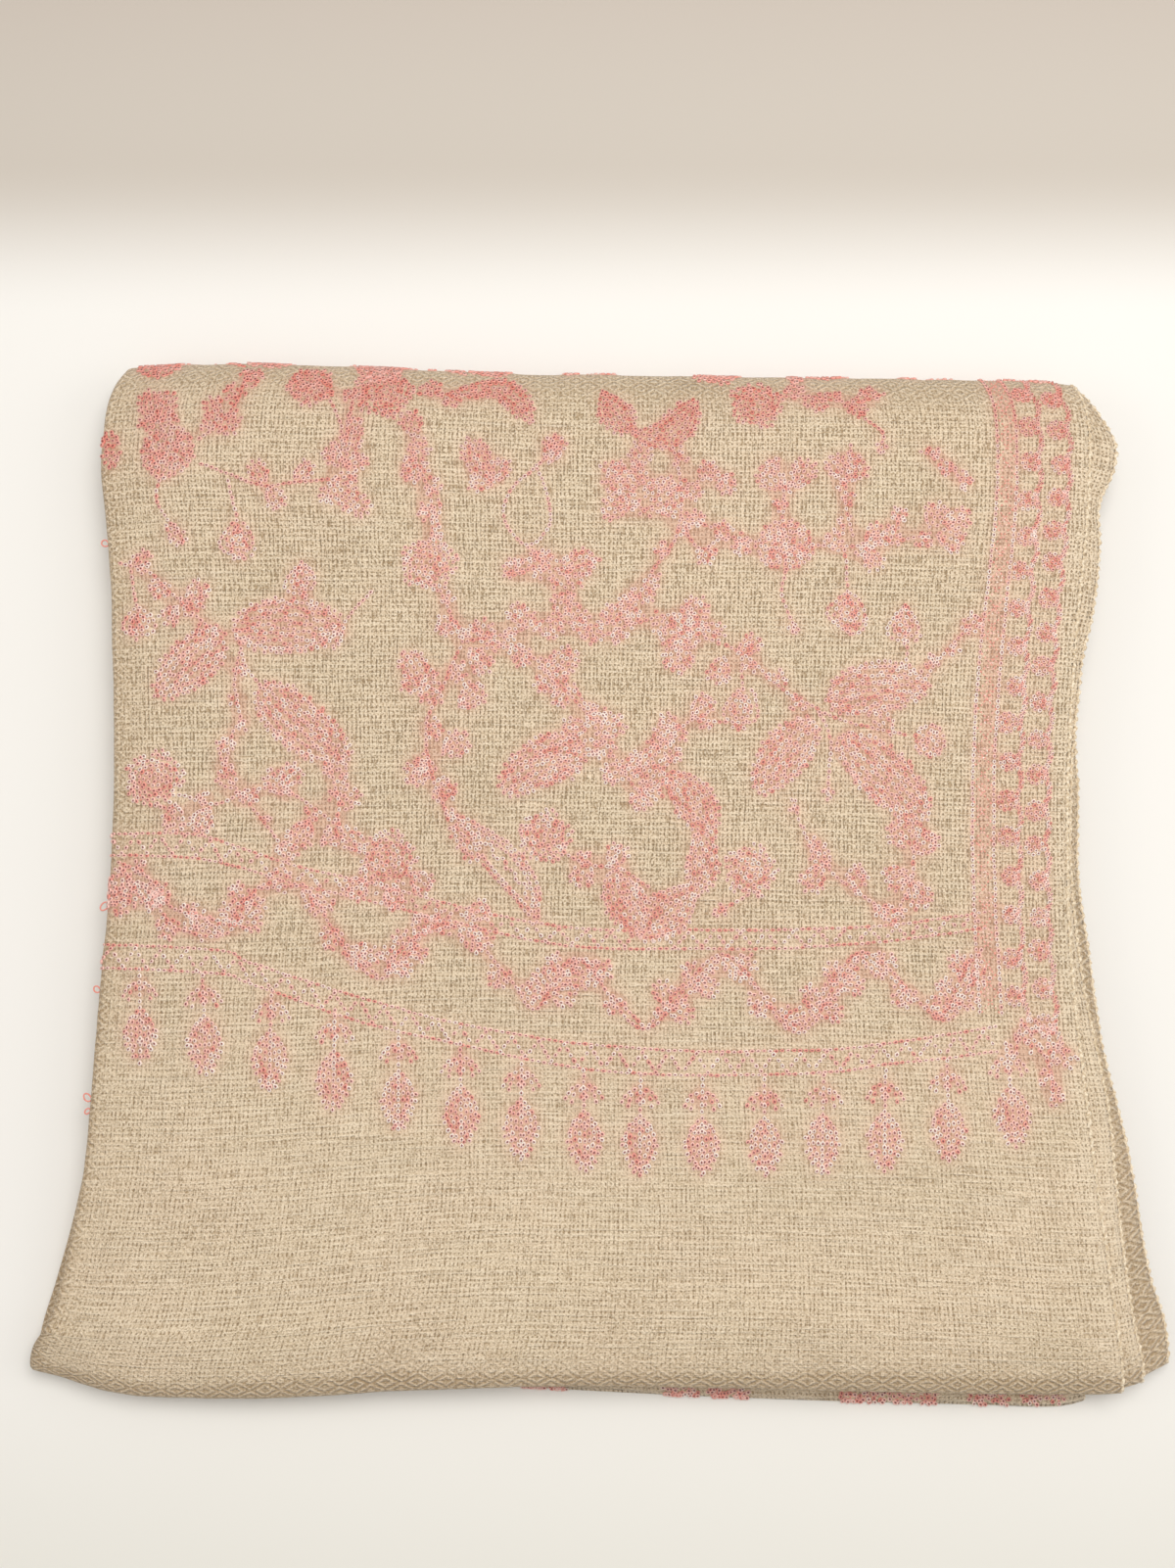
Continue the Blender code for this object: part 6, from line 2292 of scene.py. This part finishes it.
@dataclass
class LooseThreads:
    """Small loops of silk that are pulled out at the left fold."""

    material: bpy.types.Material
    girth: float = 0.42 * MM
    sides: int = 5
    steps: int = 15

    def make(self, name: str, sheet: ClothSheet, loops: Sequence[tuple[float, float, float]]) -> bpy.types.Object:
        """Pull the loops out of a sheet's left fold.

        Args:
            name: The piece's name.
            sheet: The sheet.
            loops: Each loop's place along the sheet, its reach and its lean, in millimetres.

        Returns:
            The new piece.
        """
        points: list[np.ndarray] = []
        faces: list[tuple[int, ...]] = []
        turn = np.linspace(0.0, 2.0 * math.pi, self.steps)
        out = 0.5 - 0.5 * np.cos(turn)
        for place, reach, lean in loops:
            row = int(np.argmin(np.abs(sheet.along[:, sheet.face_columns - 1] - place * MM)))
            column = int(np.argmin(sheet.outer[row, :, 0]))
            x, y = 0.45 - reach * out, 0.42 * reach * np.sin(turn) + lean * out
            loop = np.stack([x, y, 0.22 * reach * np.sin(turn * 1.5 + 0.4)], axis=1)
            spine = sheet.outer[row, column] + loop * MM
            tangent = unit(np.gradient(spine, axis=0))
            aside = unit(np.cross(tangent, np.array([0.0, 0.0, 1.0])))
            girth = np.full(self.steps, self.girth)
            ring, around = tube(spine, aside, np.cross(aside, tangent), girth, self.sides)
            first = sum(len(part) for part in points)
            points.append(ring)
            faces += [tuple(first + corner for corner in face) for face in around]
        return finish_mesh(name, new_mesh(name, np.concatenate(points).tolist(), faces=faces), self.material)


def edge_of(sheet: ClothSheet, column: int = 0) -> tuple[np.ndarray, np.ndarray]:
    """A sheet's edge line at half its wall, and the direction out of it.

    Args:
        sheet: The sheet.
        column: The grid column that the edge follows, 0 or the last one.

    Returns:
        The places and the directions.
    """
    middle = (sheet.outer + sheet.inner()) / 2.0
    beside = 1 if column == 0 else -2
    return middle[:, column], unit(middle[:, column] - middle[:, beside])


@dataclass
class Studio:
    """The pale paper, the soft lights and the camera."""

    camera_place: tuple[float, float, float] = (-0.006, -0.0880, 0.9470)
    camera_aim: tuple[float, float, float] = (-0.006, 0.041, 0.029)
    lens: float = 42.72
    sensor: float = 36.0
    half_width: float = 3.0
    paper_level: float = -0.2 * MM
    light_size: float = 1.2

    def build(self) -> None:
        """Set everything up."""
        self.paper()
        self.lights()
        self.camera()

    def paper(self) -> None:
        """Lay the paper flat under the shawl."""
        reach = self.half_width
        corners = [(-reach, -reach), (reach, -reach), (reach, reach), (-reach, reach)]
        mesh = new_mesh("pale_paper", [(x, y, self.paper_level) for x, y in corners], faces=[(0, 1, 2, 3)])
        mesh.materials.append(PaperFinish().build())
        shown("pale_paper", mesh)

    def aimed(self, name: str, data: bpy.types.ID, place: Sequence[float]) -> bpy.types.Object:
        """Put a light or the camera in its place, turned to the shawl."""
        thing = shown(name, data)
        thing.location = place
        aim = Vector(self.camera_aim) - Vector(place)
        thing.rotation_euler = aim.to_track_quat("-Z", "Y").to_euler()
        return thing

    def area(self, name: str, place: Sequence[float], power: float, colour: Sequence[float]) -> None:
        """Hang one soft light that faces the shawl."""
        light = bpy.data.lights.new(name, "AREA")
        light.shape = "SQUARE"
        light.size = self.light_size
        light.energy = power
        light.color = colour
        self.aimed(name, light, place)

    def lights(self) -> None:
        """Hang the lights and set the pale surroundings."""
        self.area("overhead", (0.27, 0.44, 1.75), 22.2, (1.0, 0.98, 0.95))
        self.area("left_fill", (-1.5, -0.1, 1.0), 4.5, (1.0, 0.97, 0.93))
        self.area("right_fill", (1.5, 0.1, 1.0), 5.2, (1.0, 0.985, 0.96))
        world = bpy.data.worlds.new("pale_room")
        world.use_nodes = True
        background = world.node_tree.nodes["Background"]
        background.inputs["Color"].default_value = (1.0, 0.975, 0.94, 1.0)
        background.inputs["Strength"].default_value = 0.45
        bpy.context.scene.world = world

    def camera(self) -> None:
        """Set the camera over the shawl."""
        camera = bpy.data.cameras.new("camera")
        camera.lens = self.lens
        camera.sensor_width = self.sensor
        camera.sensor_fit = "AUTO"
        bpy.context.scene.camera = self.aimed("camera", camera, self.camera_place)
        bpy.context.scene.view_settings.view_transform = "Standard"


@dataclass
class FoldedShawl:
    """The whole shawl: its sheets, their edges and the embroidery."""

    form: PackForm = field(default_factory=PackForm)
    design: EmbroideryDesign = field(default_factory=EmbroideryDesign)
    creases: tuple[Crease, ...] = (
        # from x, from y, to x, to y, half width, height
        Crease(-240.0, -120.0, -60.0, -150.0, 9.0, 0.9),
        Crease(-250.0, -165.0, 40.0, -178.0, 11.0, 0.8),
        Crease(-200.0, -190.0, 200.0, -196.0, 12.0, 0.7),
        Crease(-235.0, 20.0, -235.0, 150.0, 7.0, 0.8),
        Crease(-228.0, -90.0, -245.0, -225.0, 8.0, 1.2),
        Crease(225.0, -60.0, 236.0, -200.0, 4.0, 0.8),
        Crease(216.0, 60.0, 215.0, 190.0, 5.0, 0.6),
        Crease(60.0, -215.0, 235.0, -222.0, 8.0, 0.7),
        Crease(-60.0, 205.0, 190.0, 212.0, 9.0, 0.5),
        Crease(-262.0, -215.0, -180.0, -232.0, 6.0, 1.4),
        Crease(-150.0, 90.0, -40.0, 96.0, 8.0, 0.6),
        Crease(20.0, 10.0, 140.0, 5.0, 8.0, 0.5),
    )
    loops: tuple[tuple[float, float, float], ...] = (
        # place along the left fold, reach, lean
        (166.0, 4.0, 1.0), (-19.0, 4.6, -1.2), (-62.0, 3.6, 0.8), (-114.0, 4.2, 1.4), (-121.0, 3.0, -0.8),
    )

    def add(self, thing: bpy.types.Object, slot: str, *nodes: str) -> bpy.types.Object:
        """Let a piece ride on the shawl, pressed flat where it meets the floor.

        Args:
            thing: The piece.
            slot: Not used.
            nodes: The solids that it replaces.

        Returns:
            The piece.
        """
        place = np.empty(3 * len(thing.data.vertices))
        thing.data.vertices.foreach_get("co", place)
        place[2::3] = np.maximum(place[2::3], 0.0)
        thing.data.vertices.foreach_set("co", place)
        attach(thing, "root")
        if nodes:
            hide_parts(*nodes)
        LOG.info("%s: %d faces", thing.name, len(thing.data.polygons))
        return thing

    def build(self) -> None:
        """Make every piece."""
        wool = WoolFinish().build()
        # A darker copy of the wool: painted shade for the hidden plies inside the pack.
        shade = WoolFinish(name="shawl_wool_inside", base=(206.0, 182.0, 150.0), cool=(198.0, 178.0, 147.0)).build()
        yarn = YarnFinish().build()
        silk = SilkFinish().build()
        stitches = {
            "field_embroidery": self.design.field_rows(),
            "back_embroidery": self.design.back_rows(),
            "border_embroidery": self.design.border_rows(),
            "band_embroidery": self.design.band_rows(),
            "pendant_embroidery": self.design.pendant_rows(),
        }
        top = TopPly(self.form).sheet()
        relief = Relief(creases=self.creases)
        relief.sew_in(self.drawn_in(stitches, top))
        top.press(relief)
        top_cloth = self.add(top.mesh("top_cloth", wool), "shawl_wool", "top_stretch")
        stitcher = ChainStitcher(silk)
        sewn = []
        for name, rows in stitches.items():
            sewn += [self.add(piece, "embroidery_silk") for piece in stitcher.sew(name, rows, top)]
        fuzz = Fuzz(yarn)
        top_edge = edge_of(top)
        cord = self.add(SelvedgeCord(seed=2).make("top_selvedge", *top_edge, yarn), "shawl_wool")
        fibres = self.add(fuzz.make("top_fuzz", *top_edge, 3), "shawl_wool")
        pulled = self.add(LooseThreads(silk).make("loose_threads", top, self.loops), "embroidery_silk")
        self.selvedge_plies(wool, yarn, fuzz)
        self.inner_sheets(shade, yarn)
        self.bottom(wool, yarn, stitcher)

    def drawn_in(self, stitches: dict[str, list[Row]], top: ClothSheet) -> np.ndarray:
        """Find where the stitches on the top ply draw the cloth in.

        Args:
            stitches: The rows, by the piece's name.
            top: The ply before it is pressed.

        Returns:
            Places on the flat cloth, in millimetres.
        """
        full = (Stitch.CHAIN, Stitch.KNOTTED, Stitch.RAIL)
        flat = []
        for row in (row for rows in stitches.values() for row in rows):
            if row.by_selvedge and row.kind is not Stitch.ROPE:
                placed, _ = top.place(*top.from_selvedge(row.points[:, 0] * MM, row.points[:, 1] * MM))
                flat.append(np.stack([placed[:, 0] / MM, row.points[:, 1]], axis=1))
            elif row.kind in full and not row.by_selvedge:
                flat.append(row.points)
        return np.concatenate(flat)

    def selvedge_plies(self, wool: bpy.types.Material, yarn: bpy.types.Material, fuzz: Fuzz) -> None:
        """Make the second and third ply, which stand out at the right."""
        calm = Relief(crumple=0.35, crinkle=0.22, pucker=0.0, seed=23)
        for order, (name, node, width, under) in enumerate(
            (("second_cloth", "second_ply", 52.0, -66.0), ("third_cloth", "third_ply", 44.0, -30.0)), start=1
        ):
            sheet = SelvedgePly(self.form, order, width * MM, under).sheet()
            sheet.press(calm)
            cloth = self.add(sheet.mesh(name, wool), "shawl_wool", node)
            edge = edge_of(sheet)
            cord = self.add(SelvedgeCord(seed=6 + order).make(name + "_selvedge", *edge, yarn), "shawl_wool")
            fibres = self.add(fuzz.make(name + "_fuzz", *edge, 12 + order), "shawl_wool")

    def inner_sheets(self, shade: bpy.types.Material, yarn: bpy.types.Material) -> None:
        """Make the two folded sheets inside the pack, which stand for its hidden plies, in a darker copy of the wool as
        painted shade.
        """
        ripple = Relief(crumple=0.3, crinkle=0.15, pucker=0.0, seed=31)
        for name, level, inset, rest in (
            ("middle_cloth", Level.UPPER, 1.0, "lower_cloth"),
            ("lower_cloth", Level.LOWER, 3.5, "bottom_cloth"),
        ):
            sheet = InnerPair(self.form, level, inset * MM).sheet()
            sheet.press(ripple)
            cloth = self.add(sheet.mesh(name, shade), "shawl_wool_inside", "hidden_layers")
            for number, column in enumerate((0, sheet.outer.shape[1] - 1)):
                cord = SelvedgeCord(radius=0.6 * MM, seed=40 + number)
                edge = cord.make(f"{name}_selvedge_{number + 1}", *edge_of(sheet, column), yarn)
                self.add(edge, "shawl_wool_inside")

    def bottom(self, wool: bpy.types.Material, yarn: bpy.types.Material, stitcher: ChainStitcher) -> None:
        """Make the lowest ply with the embroidery under it and on the end that shows in front."""
        sheet = BottomPly(self.form).sheet()
        cloth = self.add(sheet.mesh("bottom_cloth", wool), "shawl_wool", "bottom_stretch")
        upper = ClothSheet(sheet.inner(), sheet.across, sheet.face_columns)
        pieces = stitcher.sew("end_embroidery", self.design.end_rows(), upper)
        pieces += stitcher.sew("underside_embroidery", self.design.underside_rows(), sheet)
        sewn = [self.add(piece, "embroidery_silk") for piece in pieces]
        edge = SelvedgeCord(radius=0.6 * MM, seed=50).make("bottom_selvedge", *edge_of(sheet), yarn)
        cord = self.add(edge, "shawl_wool")


def main() -> None:
    """Load the frame, dress the shawl and set the studio up."""
    logging.basicConfig(level=logging.INFO, format="%(name)s %(message)s")
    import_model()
    FoldedShawl().build()
    Studio().build()


if __name__ == "__main__":
    main()
